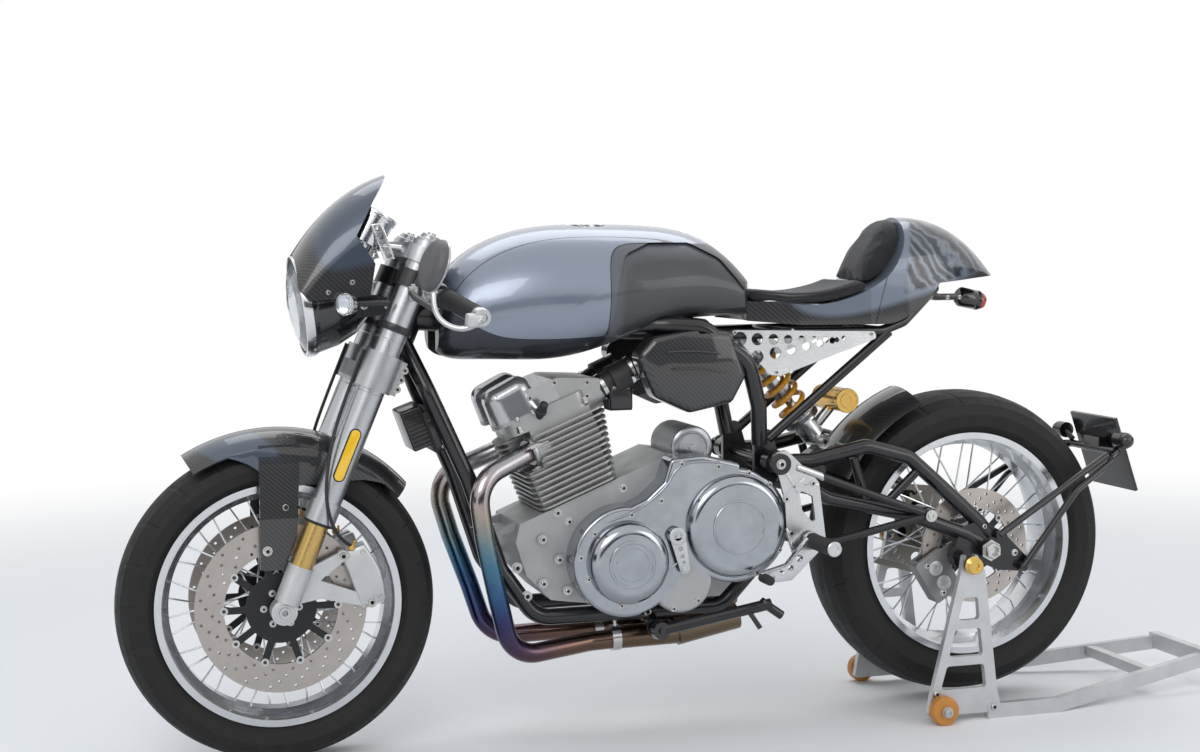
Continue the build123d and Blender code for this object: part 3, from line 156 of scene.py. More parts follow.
def makeDotsGroup():
    # a ring of round spots about an axle, such as drilled holes or rivets
    tree, given = newGroup("ringOfDots", Axle=(0.0, 0.0, 0.0), Ring=0.1, Count=10.0, Shift=0.5, Size=0.004)
    polar = addNode(tree, "Group", node_tree=polarGroup, Place=given["Place"], Axle=given["Axle"]).outputs
    cells = maths(tree, "MULTIPLY_ADD", polar["Turn"], given["Count"], given["Shift"])
    side = maths(tree, "SUBTRACT", maths(tree, "FRACT", cells), 0.5)
    step = maths(tree, "DIVIDE", maths(tree, "MULTIPLY", given["Ring"], 2 * pi), given["Count"])
    parts = maths(tree, "MULTIPLY", side, step), maths(tree, "SUBTRACT", polar["Radius"], given["Ring"])
    away = maths(tree, "SQRT", maths(tree, "ADD", *(maths(tree, "MULTIPLY", part, part) for part in parts)))
    return closeGroup(tree, Dots=maths(tree, "LESS_THAN", away, given["Size"]), Away=away)


grainGroup, weaveGroup, polarGroup, wearGroup = makeGrainGroup(), makeWeaveGroup(), makePolarGroup(), makeWearGroup()
edgeGroup, dotsGroup = makeEdgeGroup(), makeDotsGroup()


class Finish:
    # a material with its Principled shader, its Object coordinates and short ways to wire them
    def __init__(self, name, colour, roughness, metallic=0.0, coat=0.0, coatRoughness=0.06, sheen=0.0, specular=0.5):
        self.material = bpy.data.materials.new(name)
        self.material.use_nodes = True
        self.tree = self.material.node_tree
        self.shader = self.tree.nodes["Principled BSDF"]
        self.colour = colour
        for label, value in (("Base Color", colour), ("Roughness", roughness), ("Metallic", metallic),
                             ("Coat Weight", coat), ("Coat Roughness", coatRoughness), ("Sheen Weight", sheen),
                             ("Specular IOR Level", specular)):
            give(self.tree, self.shader.inputs[label], value)
        self.place = addNode(self.tree, "TexCoord").outputs["Object"]

    def group(self, group, **settings):
        return addNode(self.tree, "Group", node_tree=group, Place=self.place, **settings).outputs

    def feed(self, socket, value):
        self.tree.links.new(value, self.shader.inputs[socket])

    def fed(self, socket):
        return self.shader.inputs[socket].links[0].from_socket

    def maths(self, operation, *values):
        return maths(self.tree, operation, *values)

    def both(self, first, second):
        return self.maths("MULTIPLY", first, second)

    def inverse(self, value):
        return self.maths("SUBTRACT", 1.0, value)

    def blend(self, amount, first, second):
        mix = addNode(self.tree, "Mix", data_type="RGBA")
        for slot, value in ((0, amount), (6, first), (7, second)):
            give(self.tree, mix.inputs[slot], value)
        return mix.outputs[2]

    def span(self, value, low, high, fromLow=0.3, fromHigh=0.7):
        return addNode(self.tree, "MapRange", value, fromLow, fromHigh, low, high).outputs["Result"]

    def within(self, depth, softness=0.0006):
        return self.span(depth, 0.0, 1.0, -softness, softness)

    def bump(self, height, strength, distance=0.0005):
        normal = self.shader.inputs["Normal"]
        node = addNode(self.tree, "Bump", Strength=strength, Distance=distance, Height=height)
        if normal.is_linked:
            self.tree.links.new(normal.links[0].from_socket, node.inputs["Normal"])
        self.tree.links.new(node.outputs["Normal"], normal)

    def shade(self, amount, other):
        # mixes the plain colour with another by a mask
        self.feed("Base Color", self.blend(amount, self.colour, other))

    def worn(self, scales, rough, share, other, skin):
        # blotches in colour and roughness over a fine skin
        wear = self.group(wearGroup, Patch=scales[0], Speck=scales[1])
        self.feed("Roughness", self.span(wear["Patches"], *rough))
        self.shade(self.span(wear["Patches"], 0.0, share), other)
        self.bump(wear["Skin"], *skin)
        return self


def tinted(colour, share, lift=0.0):
    return tuple(min(1.0, share * part + lift) for part in colour)


def brushedFinish(name, colour, roughness, stretch=(900, 900, 20), depth=0.12):
    finish = Finish(name, colour, roughness, 1.0)
    grain = finish.group(grainGroup, Stretch=stretch)
    wear = finish.group(wearGroup, Patch=18.0)
    finish.feed("Roughness", finish.span(grain["Lines"], roughness - 0.08, roughness + 0.1))
    finish.bump(grain["Height"], depth, 0.0002)
    finish.shade(finish.span(wear["Patches"], 0.0, 0.35), tinted(colour, 0.8))
    return finish


def castFinish(name, colour, roughness, metallic=0.85, skin=0.25):
    return Finish(name, colour, roughness, metallic).worn(
        (22.0, 900.0), (roughness - 0.06, roughness + 0.1), 0.45, tinted(colour, 0.72), (skin, 0.0004))


def paintFinish(name, colour, roughness, coat=0.6, patch=0.35):
    return Finish(name, colour, roughness, 0.0, coat).worn(
        (9.0, 700.0), (roughness - 0.05, roughness + 0.08), patch, tinted(colour, 1.6, 0.004), (0.05, 0.0003))


def mouldedFinish(name, colour, roughness):
    return Finish(name, colour, roughness).worn(
        (12.0, 1100.0), (roughness - 0.07, roughness + 0.1), 0.5, tinted(colour, 1.9, 0.002), (0.3, 0.0004))


def suedeFinish(name):
    return Finish(name, (0.016, 0.016, 0.018), 0.88, sheen=0.35, specular=0.25).worn(
        (26.0, 1800.0), (0.78, 0.95), 0.9, (0.034, 0.034, 0.037), (0.5, 0.0006))


# the light tone of the tows is a painted sheen, the dark tone the fibre itself
carbonCloth = {"cell": 0.0024, "light": 0.036, "dark": 0.009}


def carbonFinish(name):
    light, dark = carbonCloth["light"], carbonCloth["dark"]
    finish = Finish(name, (dark, dark, dark * 1.1), 0.38, 0.1, 1.0, 0.04)
    weave = finish.group(weaveGroup, Cell=carbonCloth["cell"])
    wear = finish.group(wearGroup, Patch=8.0)
    # the twill pattern, its lighter tows a painted sheen of the warp
    sheenedTows = finish.blend(weave["Warp"], (dark, dark, 1.1 * dark), (light, 1.02 * light, 1.1 * light))
    finish.feed("Base Color", finish.blend(finish.span(wear["Patches"], 0.0, 0.4), sheenedTows, (dark, dark, dark)))
    finish.feed("Roughness", finish.span(weave["Height"], 0.3, 0.46, 0.0, 0.5))
    finish.bump(weave["Height"], 0.25, 0.0004)
    return finish


def tyreFinish(name, axle, tyreRadius, seatRadius):
    finish = Finish(name, (0.012, 0.012, 0.0125), 0.62, specular=0.3)
    polar = finish.group(polarGroup, Axle=axle)
    wear = finish.group(wearGroup, Patch=30.0, Speck=1400.0)
    finish.shade(finish.span(wear["Patches"], 0.0, 0.8), (0.022, 0.0215, 0.021))
    # slanted tread cuts that stop short of the shoulders, and moulded rings on the side wall
    side = finish.maths("ABSOLUTE", polar["Across"])
    lean = finish.maths("MULTIPLY_ADD", side, 3.2, finish.both(polar["Turn"], 22.0))
    cut = finish.span(finish.maths("PINGPONG", lean, 0.5), 0.0, 1.0, 0.025, 0.06)
    onTread = finish.span(polar["Radius"], 0.0, 1.0, tyreRadius - 0.034, tyreRadius - 0.026)
    edge = finish.span(side, 0.0, 1.0, 0.012, 0.02)
    groove = finish.both(finish.inverse(cut), finish.both(onTread, edge))
    rings = finish.maths("PINGPONG", finish.both(polar["Radius"], 210.0), 0.5)
    wall = finish.maths("LESS_THAN", polar["Radius"], seatRadius + 0.02)
    finish.bump(finish.both(groove, -1.0), 0.7, 0.003)
    finish.bump(finish.both(rings, wall), 0.35, 0.001)
    finish.bump(wear["Skin"], 0.25, 0.0004)
    finish.feed("Roughness", finish.span(wear["Patches"], 0.52, 0.72))
    return finish


def turnedFinish(name, axle, colour, roughness, rings=900.0):
    # fine circles about an axle, for rims, discs and turned covers
    finish = Finish(name, colour, roughness, 1.0)
    polar = finish.group(polarGroup, Axle=axle)
    wear = finish.group(wearGroup, Patch=24.0)
    way = addNode(finish.tree, "CombineXYZ", finish.both(polar["Radius"], rings), finish.both(polar["Turn"], 6.0))
    circles = addNode(finish.tree, "TexNoise", way.outputs[0], Scale=1.0, Detail=2.0).outputs["Fac"]
    finish.feed("Roughness", finish.span(circles, roughness - 0.06, roughness + 0.1))
    finish.shade(finish.span(wear["Patches"], 0.0, 0.3), tinted(colour, 0.75))
    finish.bump(circles, 0.08, 0.0002)
    return finish


heatTints = [
    (0.0, (0.33, 0.34, 0.37)), (0.06, (0.36, 0.36, 0.38)), (0.11, (0.38, 0.33, 0.34)), (0.16, (0.36, 0.31, 0.26)),
    (0.22, (0.20, 0.25, 0.25)), (0.28, (0.07, 0.18, 0.27)), (0.34, (0.035, 0.09, 0.21)), (0.40, (0.045, 0.045, 0.13)),
    (0.47, (0.085, 0.05, 0.085)), (0.56, (0.14, 0.08, 0.065)), (0.75, (0.14, 0.095, 0.06)), (1.0, (0.19, 0.15, 0.10))]


def heatFinish(name):
    # colours that run down a pipe from the port and back under the engine
    finish = Finish(name, (0.5, 0.45, 0.4), 0.2, 1.0, 0.25)
    split = addNode(finish.tree, "SeparateXYZ", finish.place).outputs
    down = finish.maths("SUBTRACT", 0.62, split["Z"])
    back = finish.maths("MAXIMUM", finish.maths("ADD", split["X"], 0.40), 0.0)
    wear = finish.group(wearGroup, Patch=11.0)
    wander = finish.both(finish.maths("SUBTRACT", wear["Patches"], 0.5), 0.10)
    travel = finish.maths("ADD", finish.maths("ADD", down, back), wander)
    finish.feed("Base Color", colourRamp(finish.tree, finish.span(travel, 0.0, 1.0, 0.0, 0.95), heatTints))
    finish.feed("Roughness", finish.span(wear["Patches"], 0.16, 0.32))
    finish.bump(wear["Skin"], 0.05, 0.0002)
    return finish


def glassFinish(name):
    finish = Finish(name, (0.93, 0.96, 1.0), 0.03)
    finish.shader.inputs["Transmission Weight"].default_value = 0.9
    finish.shader.inputs["IOR"].default_value = 1.45
    ribs = finish.group(grainGroup, Stretch=(60, 260, 60))
    finish.bump(ribs["Height"], 0.15, 0.0006)
    finish.feed("Roughness", finish.span(ribs["Lines"], 0.01, 0.06))
    return finish


# Painted zones, drawn in the side view

def zone(finish, edges, rounding=0.03):
    # smooth depth inside the edges; each runs from one (x, z) to the next with the zone on its left
    depth = None
    for (fromX, fromZ), (toX, toZ) in zip(edges[:-1], edges[1:]):
        start, way = at(fromX, 0, fromZ), (at(toX, 0, toZ) - at(fromX, 0, fromZ)).normalized()
        edge = finish.group(edgeGroup, Start=start, Inward=(-way.z, 0.0, way.x))["Depth"]
        depth = edge if depth is None else finish.maths("SMOOTH_MIN", depth, edge, rounding)
    return depth


def stripe(finish, depth):
    return finish.span(finish.maths("ABSOLUTE", depth), 1.0, 0.0, 0.00063, 0.00117)


def tankFinish(name):
    finish = Finish(name, (0.22, 0.26, 0.34), 0.3, 0.6, 1.0, 0.03)
    wear = finish.group(wearGroup, Patch=7.0, Speck=2600.0)
    patches = wear["Patches"]
    # edges of the knee recess, then of the side panel
    kneeField = finish.maths("SMOOTH_MIN", zone(finish, [(-78, 960), (-86, 900), (-84, 760)], 0.02),
                             zone(finish, [(240, 968), (40, 974), (-80, 974)], 0.02), 0.075)
    panelFoot = zone(finish, [(-420, 872), (-352, 822), (-300, 797), (-230, 788), (-110, 790), (0, 796)], 0.02)
    split = addNode(finish.tree, "SeparateXYZ", finish.place).outputs
    panelTop = finish.span(finish.maths("ABSOLUTE", split["Y"]), -0.03, 0.03, 0.052, 0.112)
    panel = finish.maths("SMOOTH_MIN", panelFoot, finish.both(kneeField, -1.0), 0.02)
    panel = finish.maths("SMOOTH_MIN", panel, panelTop, 0.02)
    inKnee = finish.within(kneeField)
    aboveFoot = finish.within(panelFoot)
    band = finish.both(finish.inverse(aboveFoot), finish.inverse(inKnee))
    lines = finish.maths("MAXIMUM", stripe(finish, panel), finish.both(stripe(finish, kneeField), aboveFoot))
    lines = finish.both(lines, finish.span(split["X"], 1.0, 0.0, -0.09, -0.03))
    base = finish.blend(finish.span(patches, 0.0, 0.2), (0.225, 0.262, 0.335), (0.265, 0.295, 0.355))
    base = finish.blend(band, base, (0.028, 0.032, 0.042))
    # painted shade: the knee recess is lighter near its top and front edges and darker further in
    kneeShade = finish.span(kneeField, 0.0, 1.0, 0.012, 0.036)
    base = finish.blend(inKnee, base, finish.blend(kneeShade, (0.115, 0.122, 0.14), (0.062, 0.064, 0.068)))
    flakes = finish.blend(finish.both(wear["Specks"], 0.25), base, (0.5, 0.54, 0.62))
    finish.feed("Base Color", finish.blend(lines, flakes, (0.012, 0.014, 0.02)))
    satin = finish.both(inKnee, finish.span(patches, 0.12, 0.2))
    finish.feed("Roughness", finish.maths("ADD", satin, finish.span(patches, 0.26, 0.34)))
    finish.feed("Coat Weight", finish.maths("MULTIPLY_ADD", finish.maths("MAXIMUM", inKnee, band), -0.6, 1.0))
    return finish


def paintOverCarbon(name, paint, zoneOf, softness):
    # clear-coated carbon with a silver panel that fades in at its border
    finish = carbonFinish(name)
    weave = finish.fed("Base Color")
    wear = finish.group(wearGroup, Patch=7.0, Speck=2600.0)
    mask = finish.within(zoneOf(finish), softness)
    silver = finish.blend(finish.span(wear["Patches"], 0.0, 0.3), paint, tinted(paint, 0.8))
    silver = finish.blend(finish.both(wear["Specks"], 0.12), silver, (0.4, 0.44, 0.5))
    finish.feed("Base Color", finish.blend(mask, weave, silver))
    finish.feed("Metallic", finish.maths("MULTIPLY_ADD", mask, 0.45, 0.1))
    return finish


strokeTints = [
    (0.0, (0.008, 0.01, 0.014)), (0.13, (0.016, 0.02, 0.028)), (0.24, (0.09, 0.105, 0.13)), (0.5, (0.20, 0.225, 0.26)),
    (0.76, (0.11, 0.125, 0.155)), (0.9, (0.07, 0.062, 0.06)), (1.0, (0.02, 0.02, 0.024))]


def humpZone(finish):
    return zone(finish, [(312, 870), (296, 852), (330, 826), (430, 815), (500, 822), (560, 843), (660, 872),
                         (800, 905)])


def humpFinish(name):
    # carbon foot, silver side and a band of windswept brush strokes behind it
    finish = paintOverCarbon(name, (0.16, 0.19, 0.24), humpZone, 0.006)
    art = finish.maths("SMOOTH_MIN", zone(finish, [(552, 1030), (548, 960), (528, 885), (512, 848)]),
                       zone(finish, [(500, 845), (560, 858), (660, 884), (800, 915)]), 0.02)
    turn = addNode(finish.tree, "Mapping", finish.place, Rotation=(0.0, radians(38), 0.0))
    strokes = addNode(finish.tree, "TexWave", turn.outputs[0], wave_type="BANDS", bands_direction="X",
                      Scale=6.0, Distortion=9.0, Detail=4.0, Detail_Scale=1.4)
    tint = colourRamp(finish.tree, strokes.outputs["Fac"], strokeTints)
    soft = finish.group(wearGroup, Patch=16.0)
    inside = finish.both(finish.within(art, 0.004), finish.span(soft["Patches"], 0.82, 1.0))
    finish.feed("Base Color", finish.blend(inside, finish.fed("Base Color"), tint))
    return finish


def cowlZone(finish):
    return zone(finish, [(-640, 1010), (-634, 950), (-604, 924), (-520, 940), (-470, 950)], 0.02)


def guardZone(finish):
    front = zone(finish, [(-900, 560), (-735, 540), (-722, 534), (-640, 548), (-664, 570), (-708, 600), (-714, 640)])
    return finish.maths("MINIMUM", front, zone(finish, [(-722, 534), (-600, 534)], 0.01))


def innerGuardZone(finish):
    # the stay outside the guard stays bare carbon
    painted = guardZone(finish)
    for side in (-1, 1):
        inside = finish.group(edgeGroup, Start=(0.0, side * 0.0672, 0.0), Inward=(0.0, -side, 0.0))["Depth"]
        painted = finish.maths("MINIMUM", painted, inside)
    return painted


def discFinish(name, axle, size):
    # drilled ring, black carrier and floating bobbins
    finish = turnedFinish(name, axle, (0.50, 0.46, 0.43), 0.34, 1400.0)
    polar = finish.group(polarGroup, Axle=axle)
    carrier = finish.maths("LESS_THAN", polar["Radius"], size["inner"])
    colour = finish.blend(carrier, finish.fed("Base Color"), (0.014, 0.014, 0.015))
    bobbins, pins = (finish.group(dotsGroup, Axle=axle, Ring=size["inner"], Count=size["arms"], Shift=0.5, Size=dot)
                     for dot in (0.0075, 0.0035))
    colour = finish.blend(bobbins["Dots"], colour, (0.62, 0.62, 0.61))
    colour = finish.blend(pins["Dots"], colour, (0.08, 0.08, 0.08))
    holes = 0.0
    for ring, shift in size["rings"]:
        dots = finish.group(dotsGroup, Axle=axle, Ring=ring, Count=size["holes"], Shift=shift,
                            Size=size["hole"])["Dots"]
        holes = finish.maths("MAXIMUM", holes, dots)
    finish.feed("Base Color", finish.blend(holes, colour, (0.02, 0.02, 0.02)))
    black = finish.both(carrier, finish.inverse(bobbins["Dots"]))
    finish.feed("Metallic", finish.maths("MULTIPLY_ADD", black, -0.8, 1.0))
    finish.feed("Alpha", finish.inverse(holes))
    finish.bump(finish.both(bobbins["Away"], 100.0), 0.05, 0.0005)
    return finish


def headFinish(name):
    # cast head with fins, its two rocker domes polished
    finish = castFinish(name, (0.43, 0.43, 0.425), 0.42, 0.7)
    domes = finish.both(zone(finish, [(-111, 699), (-254, 641)], 0.004), -1.0)
    domes = finish.maths("SMOOTH_MIN", domes, zone(finish, [(-146, 620), (-212, 780)], 0.004), 0.002)
    mask = finish.within(domes, 0.001)
    finish.feed("Base Color", finish.blend(mask, finish.fed("Base Color"), (0.46, 0.47, 0.485)))
    finish.feed("Roughness", addNode(finish.tree, "Mix", mask, None, finish.fed("Roughness"), 0.14).outputs[0])
    return finish


def shockFinish(name):
    # bright body with a gold reservoir
    finish = brushedFinish(name, (0.60, 0.61, 0.62), 0.24, (500, 500, 500))
    gold = finish.span(finish.group(polarGroup, Axle=at(438, 0, 648))["Radius"], 1.0, 0.0, 0.0275, 0.0285)
    finish.feed("Base Color", finish.blend(gold, finish.fed("Base Color"), (0.70, 0.42, 0.10)))
    return finish


def coverFinish(name):
    # polished primary cover with its round lower case left matt
    finish = castFinish(name, (0.40, 0.42, 0.455), 0.15, 1.0, 0.04)
    matt = finish.within(zone(finish, [(120, 392), (0, 372)]))
    for x, z, size in ((-58, 361, 0.109), (162, 420, 0.113)):
        radius = finish.group(polarGroup, Axle=at(x, 0, z))["Radius"]
        matt = finish.both(matt, finish.span(radius, 0.0, 1.0, size, size + 0.0006))
    finish.feed("Base Color", finish.blend(matt, finish.fed("Base Color"), (0.42, 0.425, 0.43)))
    finish.feed("Roughness", finish.maths("MULTIPLY_ADD", matt, 0.28, finish.fed("Roughness")))
    finish.feed("Metallic", finish.maths("MULTIPLY_ADD", matt, -0.6, 1.0))
    return finish


def restFinish(name):
    # milled plates with black painted brace rods behind them
    finish = brushedFinish(name, (0.64, 0.65, 0.66), 0.28, (500, 500, 500))
    rods = finish.within(zone(finish, [(336, 560), (360, 300)]))
    finish.feed("Base Color", finish.blend(rods, finish.fed("Base Color"), (0.012, 0.012, 0.014)))
    finish.feed("Metallic", finish.maths("MULTIPLY_ADD", rods, -1.0, 1.0))
    return finish


# Finishes of the CAD nodes and the pieces

discSizes = {
    "frontDiscSteel": {"inner": 0.106, "arms": 10, "holes": 20, "hole": 0.0028,
                       "rings": ((0.1165, 0.0), (0.1275, 0.33), (0.139, 0.66), (0.150, 0.0))},
    "rearDiscSteel": {"inner": 0.076, "arms": 8, "holes": 18, "hole": 0.003,
                      "rings": ((0.086, 0.0), (0.097, 0.33), (0.108, 0.66))}}
brushed = {
    "chainSteel": ((0.30, 0.28, 0.25), 0.42, (300, 300, 300)),
    "forkSilver": ((0.52, 0.535, 0.56), 0.32, (1600, 1600, 60)),
    "forkGold": ((0.62, 0.42, 0.16), 0.26, (500, 500, 500)), "mirrorSilver": ((0.54, 0.55, 0.56), 0.3, (400, 400, 400)),
    "gaugeChrome": ((0.70, 0.71, 0.73), 0.14, (200, 200, 900)),
    "shockAlloy": ((0.64, 0.65, 0.66), 0.28, (500, 500, 500)),
    "goldAnodised": ((0.72, 0.47, 0.14), 0.24, (700, 700, 700)),
    "mirrorGlass": ((0.90, 0.91, 0.92), 0.05, (40, 40, 40), 0.01),
    "platePolish": ((0.80, 0.81, 0.82), 0.22, (30, 300, 1200))}
cast = {
    "castSilver": ((0.62, 0.63, 0.64), 0.4, 0.6), "yokeSilver": ((0.46, 0.475, 0.49), 0.34, 0.9),
    "caseAlloy": ((0.41, 0.415, 0.415), 0.46, 0.45), "coverAlloy": ((0.40, 0.415, 0.44), 0.26, 0.95, 0.08),
    "finAlloy": ((0.43, 0.43, 0.425), 0.42, 0.7), "screwSteel": ((0.62, 0.62, 0.61), 0.22, 1.0, 0.05),
    "mirrorGrey": ((0.13, 0.13, 0.135), 0.5, 0.5, 0.5), "caliperGrey": ((0.34, 0.34, 0.345), 0.38, 0.8, 0.3),
    "perchSilver": ((0.48, 0.50, 0.49), 0.34, 0.85, 0.1), "headAlloy": ((0.42, 0.425, 0.43), 0.3, 0.95, 0.15),
    "standSilver": ((0.62, 0.63, 0.64), 0.38, 0.55, 0.1)}
paint = {
    "barBlack": ((0.014, 0.014, 0.016), 0.38, 0.2), "frameBlack": ((0.005, 0.005, 0.007), 0.26, 0.35),
    "springOrange": ((0.82, 0.36, 0.02), 0.3, 0.6, 0.15), "lampBlack": ((0.008, 0.008, 0.009), 0.16, 0.8),
    "amberReflector": ((0.92, 0.55, 0.012), 0.2, 1.0, 0.05), "dialWhite": ((0.78, 0.78, 0.76), 0.35, 0.3, 0.05),
    "throttleGlossBlack": ((0.012, 0.012, 0.013), 0.28, 0.4), "tailRed": ((0.35, 0.01, 0.01), 0.15, 1.0)}
moulded = {
    "throttleBlack": ((0.016, 0.016, 0.017), 0.5), "socketDark": ((0.02, 0.02, 0.02), 0.6),
    "gripRubber": ((0.013, 0.013, 0.014), 0.6), "hoseBlack": ((0.012, 0.012, 0.013), 0.5),
    "rollerOrange": ((0.46, 0.19, 0.035), 0.4), "boxBlack": ((0.008, 0.008, 0.009), 0.5)}
special = {
    tyreFinish: {"frontTyreRubber": (frontAxle, 0.300, 0.222), "rearTyreRubber": (rearAxle, 0.315, 0.222)},
    turnedFinish: {name: (axle, (0.66, 0.675, 0.70), 0.2)
                   for name, axle in (("frontRimAlloy", frontAxle), ("rearRimAlloy", rearAxle))},
    discFinish: {name: (axle, discSizes[name])
                 for name, axle in (("frontDiscSteel", frontAxle), ("rearDiscSteel", rearAxle))},
    paintOverCarbon: {"cowlPaint": ((0.06, 0.078, 0.115), cowlZone, 0.008),
                      "guardPaint": ((0.07, 0.09, 0.125), innerGuardZone, 0.004),
                      "skirtPaint": ((0.07, 0.09, 0.125), guardZone, 0.004)},
    headFinish: {"headCasting": ()}, shockFinish: {"shockParts": ()}, heatFinish: {"headerHeatTint": ()},
    tankFinish: {"tankPaint": ()}, humpFinish: {"humpPaint": ()}, coverFinish: {"polishedCover": ()},
    restFinish: {"restAlloy": ()}, suedeFinish: {"blackSuede": ()}, glassFinish: {"lampGlass": ()},
    carbonFinish: {"glossCarbon": ()}}
finishes = {}
plain = {brushedFinish: brushed, castFinish: cast, paintFinish: paint, mouldedFinish: moulded}
for make, table in {**plain, **special}.items():
    for name, values in table.items():
        finishes[name] = make(name, *values)

nodesOf = {
    "frontTyreRubber": "front_tyre", "rearTyreRubber": "rear_tyre", "frontRimAlloy": "front_wire_wheel",
    "rearRimAlloy": "rear_wire_wheel", "frontDiscSteel": "front_discs", "rearDiscSteel": "rear_disc",
    "chainSteel": "rear_sprocket drive_chain gearbox_sprocket", "forkSilver": "fork_outers", "forkGold": "fork_inners",
    "castSilver": "fork_feet front_calipers", "yokeSilver": "yokes", "barBlack": "handlebars",
    "mirrorSilver": "mirrors",
    "lampBlack": "headlight_shell", "lampGlass": "headlight_lens", "cowlPaint": "cowl",
    "gaugeChrome": "gauges front_indicators", "guardPaint": "front_mudguard", "hoseBlack": "brake_hoses",
    "frameBlack": "main_frame rear_subframe swingarm plate_holder side_stand", "shockParts": "shock_absorber",
    "springOrange": "shock_spring", "caseAlloy": "crankcase", "finAlloy": "cylinders", "headCasting": "cylinder_head",
    "polishedCover": "side_covers", "throttleBlack": "carburettors", "glossCarbon": "airbox_covers rear_hugger",
    "headerHeatTint": "exhaust", "tankPaint": "fuel_tank", "shockAlloy": "fuel_cap", "humpPaint": "seat_base",
    "blackSuede": "seat_pads", "tailRed": "tail_light", "platePolish": "side_plates", "restAlloy": "footrests",
    "caliperGrey": "rear_caliper", "boxBlack": "regulator_box", "standSilver": "paddock_stand",
    "rollerOrange": "roller_left roller_right"}
for finish, nodes in nodesOf.items():
    for node in nodes.split():
        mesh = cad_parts[node].data
        mesh.materials.clear()
        mesh.materials.append(finishes[finish].material)
print("CAD nodes have their finishes")


# Camera and studio

cameraPlace = {"spot": (-1129.8, -3601.8, 994.7), "yaw": 16.489, "pitch": 4.347, "roll": -0.592, "lens": 56.964}
studio = {"sky": 0.62, "backdrop": (0.93, 0.94, 0.95), "fade": (1.9, 4.6), "card": (0.05, 0.06, 0.075),
          "skyTints": [(0.42, (0.30, 0.32, 0.35)), (0.72, (0.92, 0.95, 1.0))]}
lamps = {"keyLamp": {"spot": (-2.4, -3.6, 3.4), "target": (0, 0, 0.5), "size": (3.2, 2.2), "power": 70},
         "fillLamp": {"spot": (2.8, -3.2, 1.8), "target": (0.2, 0, 0.5), "size": (2.2, 2.2), "power": 26},
         "topLamp": {"spot": (0.2, 1.6, 3.6), "target": (0, 0, 0.5), "size": (3.6, 1.8), "power": 34}}
cards = ((0, -6.5, 0, 9.0), (0, 6.5, 0, 9.0), (-7.0, 0, pi / 2, 8.0), (7.0, 0, pi / 2, 8.0))


def placeObject(name, data):
    holder = bpy.data.objects.new(name, data)
    bpy.context.scene.collection.objects.link(holder)
    return holder


def newest(name):
    piece = bpy.context.object
    piece.name = piece.data.name = name
    return piece


def buildCamera():
    yaw, pitch, roll = (radians(cameraPlace[k]) for k in ("yaw", "pitch", "roll"))
    ahead = Vector((sin(yaw) * cos(pitch), cos(yaw) * cos(pitch), -sin(pitch)))
    level = Vector((cos(yaw), -sin(yaw), 0))
    upright = level.cross(ahead)
    camera = placeObject("photoCamera", bpy.data.cameras.new("photoCamera"))
    camera.data.lens, camera.data.sensor_width, camera.data.clip_end = cameraPlace["lens"], 36, 100
    axes = (cos(roll) * level + sin(roll) * upright, cos(roll) * upright - sin(roll) * level, -ahead)
    camera.matrix_world = Matrix.Translation(at(*cameraPlace["spot"])) @ Matrix(axes).transposed().to_4x4()
    bpy.context.scene.camera = camera


def buildLamps():
    for name, row in lamps.items():
        lamp = bpy.data.lights.new(name, "AREA")
        lamp.shape = "RECTANGLE"
        lamp.size, lamp.size_y = row["size"]
        lamp.energy = row["power"]
        holder = placeObject(name, lamp)
        holder.location = row["spot"]
        holder.rotation_euler = (Vector(row["target"]) - Vector(row["spot"])).to_track_quat("-Z", "Y").to_euler()


def buildSky():
    # brighter overhead, for curved metal, and plain white to the camera, glass and mirrors
    world = bpy.data.worlds.new("studioSky")
    world.use_nodes = True
    bpy.context.scene.world = world
    tree = world.node_tree
    tree.nodes.clear()
    height = addNode(tree, "SeparateXYZ", addNode(tree, "TexCoord").outputs["Generated"]).outputs["Z"]
    lift = addNode(tree, "MapRange", height, From_Min=-1).outputs["Result"]
    sky = addNode(tree, "Background", Color=colourRamp(tree, lift, studio["skyTints"]), Strength=studio["sky"])
    white = addNode(tree, "Background", Color=(1, 1, 1), Strength=1)
    rays = addNode(tree, "LightPath").outputs
    seen = maths(tree, "MAXIMUM", rays["Is Camera Ray"], rays["Is Transmission Ray"])
    seen = maths(tree, "MAXIMUM", seen, rays["Is Glossy Ray"])
    mix = addNode(tree, "MixShader", seen, sky.outputs[0], white.outputs[0])
    addNode(tree, "OutputWorld", mix.outputs[0])
    bpy.context.scene.view_settings.view_transform = "Standard"


def buildFloor():
    # away from the bike the floor fades into the white backdrop
    bpy.ops.mesh.primitive_plane_add(size=120, location=(0, 0, 0))
    floor = newest("studioFloor")
    finish = Finish("studioFloorPaint", studio["backdrop"], 0.9, specular=0.1)
    tree = finish.tree
    reach = addNode(tree, "VectorMath", finish.place, operation="LENGTH").outputs["Value"]
    fade = addNode(tree, "MapRange", reach, *studio["fade"], interpolation_type="SMOOTHSTEP").outputs["Result"]
    rays = addNode(tree, "LightPath").outputs
    share = finish.both(finish.maths("MAXIMUM", rays["Is Camera Ray"], rays["Is Glossy Ray"]), fade)
    mix = addNode(tree, "MixShader", share, finish.shader.outputs[0], addNode(tree, "Emission").outputs[0])
    tree.links.new(mix.outputs[0], tree.nodes["Material Output"].inputs["Surface"])
    floor.data.materials.append(finish.material)


def buildCards():
    # dark cards round the set that only reflections see, so that bright metal has edges
    card = Finish("studioCard", studio["card"], 0.9).material
    for number, (x, y, turn, width) in enumerate(cards):
        bpy.ops.mesh.primitive_plane_add(size=1, location=(x, y, 1.25), rotation=(pi / 2, 0, turn))
        panel = newest(f"studioCard{number}")
        panel.scale = (width, 1.5, 1)
        panel.data.materials.append(card)
        for ray in ("camera", "diffuse", "transmission", "shadow", "volume_scatter"):
            setattr(panel, "visible_" + ray, False)


